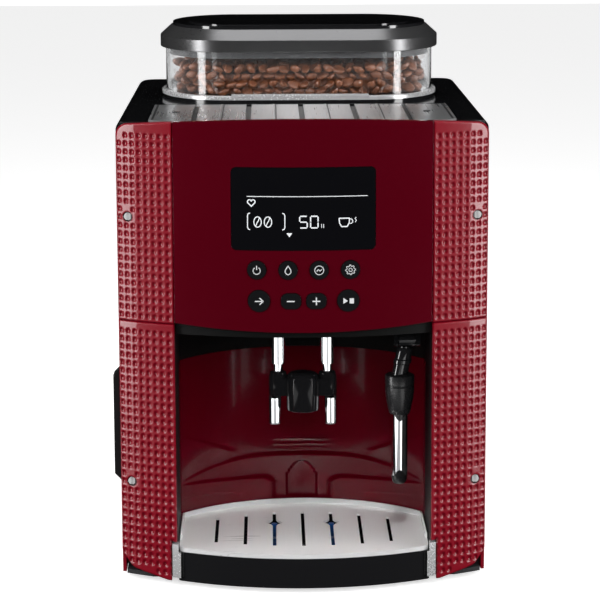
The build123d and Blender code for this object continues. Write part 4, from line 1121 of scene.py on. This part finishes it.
def only_on(light, items):
    """Lets a lamp light only these pieces."""
    group = bpy.data.collections.new(light.name + "_on")
    for item in items:
        group.objects.link(item)
    light.light_linking.receiver_collection = group


def floor_lamp(name, middle, width, depth, power):
    """A soft lamp that lies at floor height and looks up."""
    item = lamp(name, (middle[0], middle[1], 0.002), (middle[0], middle[1], 1.0), width, depth, power)
    item.rotation_euler = (pi, 0, 0)
    return item


def make_studio():
    """A pale floor and backdrop, soft lamps at both sides and above, and the camera."""
    floor = quad("floor", [(-6, -4, 0), (6, -4, 0), (6, 6, 0), (-6, 6, 0)], (0.90, 0.90, 0.90), glow=0.62)
    wall = quad("backdrop", [(-6, 6, -0.01), (6, 6, -0.01), (6, 6, 6), (-6, 6, 6)], (0.90, 0.90, 0.90), glow=1.15)
    floor.visible_glossy = False
    floor.visible_diffuse = False
    wall.visible_glossy = False
    wall.visible_diffuse = False
    world = bpy.data.worlds.new("studio")
    bpy.context.scene.world = world
    world.use_nodes = True
    shade = world.node_tree.nodes["Background"]
    shade.inputs["Color"].default_value = (1, 1, 1, 1)
    shade.inputs["Strength"].default_value = 0.30
    world.cycles_visibility.glossy = False
    world.cycles_visibility.camera = False
    centre = (0, 0, 0.18)
    lamp("left_strip", (-1.20, -0.45, 0.45), centre, 0.35, 1.3, 14)
    lamp("right_strip", (1.20, -0.45, 0.45), centre, 0.35, 1.3, 14)
    lamp("left_front_strip", (-0.95, -1.02, 0.60), (0, -0.1, 0.2), 0.3, 0.9, 3, glossy=False)
    lamp("right_front_strip", (0.95, -1.02, 0.60), (0, -0.1, 0.2), 0.3, 0.9, 3, glossy=False)
    lamp("top_box", (0, 0.1, 1.6), (0, 0, 0.2), 1.1, 1.1, 10)
    lamp("front_fill", (0, -2.4, 1.1), centre, 1.2, 0.8, 16, glossy=False)
    floor_lamp("left_low", (-0.95, -0.22), 1.3, 0.8, 1.6)
    floor_lamp("right_low", (0.95, -0.22), 1.3, 0.8, 1.6)
    shiny = []
    for item in bpy.context.scene.objects:
        used = [slot.material for slot in item.material_slots]
        if M["chrome"] in used or M["trim_silver"] in used or item.name in ("wand_grip", "wand_upper_tube"):
            shiny.append(item)
    for side in (-1, 1):
        low = floor_lamp("near_left" if side < 0 else "near_right", (side * 0.42, -0.62), 0.62, 0.72, 2.4)
        only_on(low, shiny)
    only_on(floor_lamp("near_middle", (0, -0.62), 0.21, 0.72, 0.20), shiny)
    above = lamp("deck_box", (0, -0.09, 1.0), (0, -0.09, 0.3), 0.05, 0.20, 0.20)
    above.data.spread = radians(12)
    only_on(above, [panel])
    tray = lamp("tray_box", (0, -0.80, 0.85), (0, -0.11, 0.02), 0.16, 0.16, 0.22)
    tray.data.spread = radians(26)
    only_on(tray, [nodes["drip_grille"]])
    data = bpy.data.cameras.new("camera")
    data.sensor_width = 36
    data.lens = 139.19
    data.shift_y = -0.05
    data.clip_start = 0.05
    view = bpy.data.objects.new("camera", data)
    bpy.context.scene.collection.objects.link(view)
    turn = Matrix.Rotation(radians(-0.762), 4, "Z") @ Matrix.Rotation(radians(90 - 10.14), 4, "X") \
        @ Matrix.Rotation(radians(-0.2), 4, "Z")
    view.matrix_world = Matrix.Translation((-0.022, -1.640, 0.4817)) @ turn
    bpy.context.scene.camera = view
    bpy.context.scene.view_settings.view_transform = "Standard"
    bpy.context.scene.cycles.max_bounces = 8
    bpy.context.scene.cycles.transparent_max_bounces = 8


dress_nodes()
make_cheeks()
make_liner()
panel = make_deck_panel()
make_wand_pieces()
make_spout_pieces()
make_icons()
make_beans()
make_studio()

bpy.context.view_layer.update()
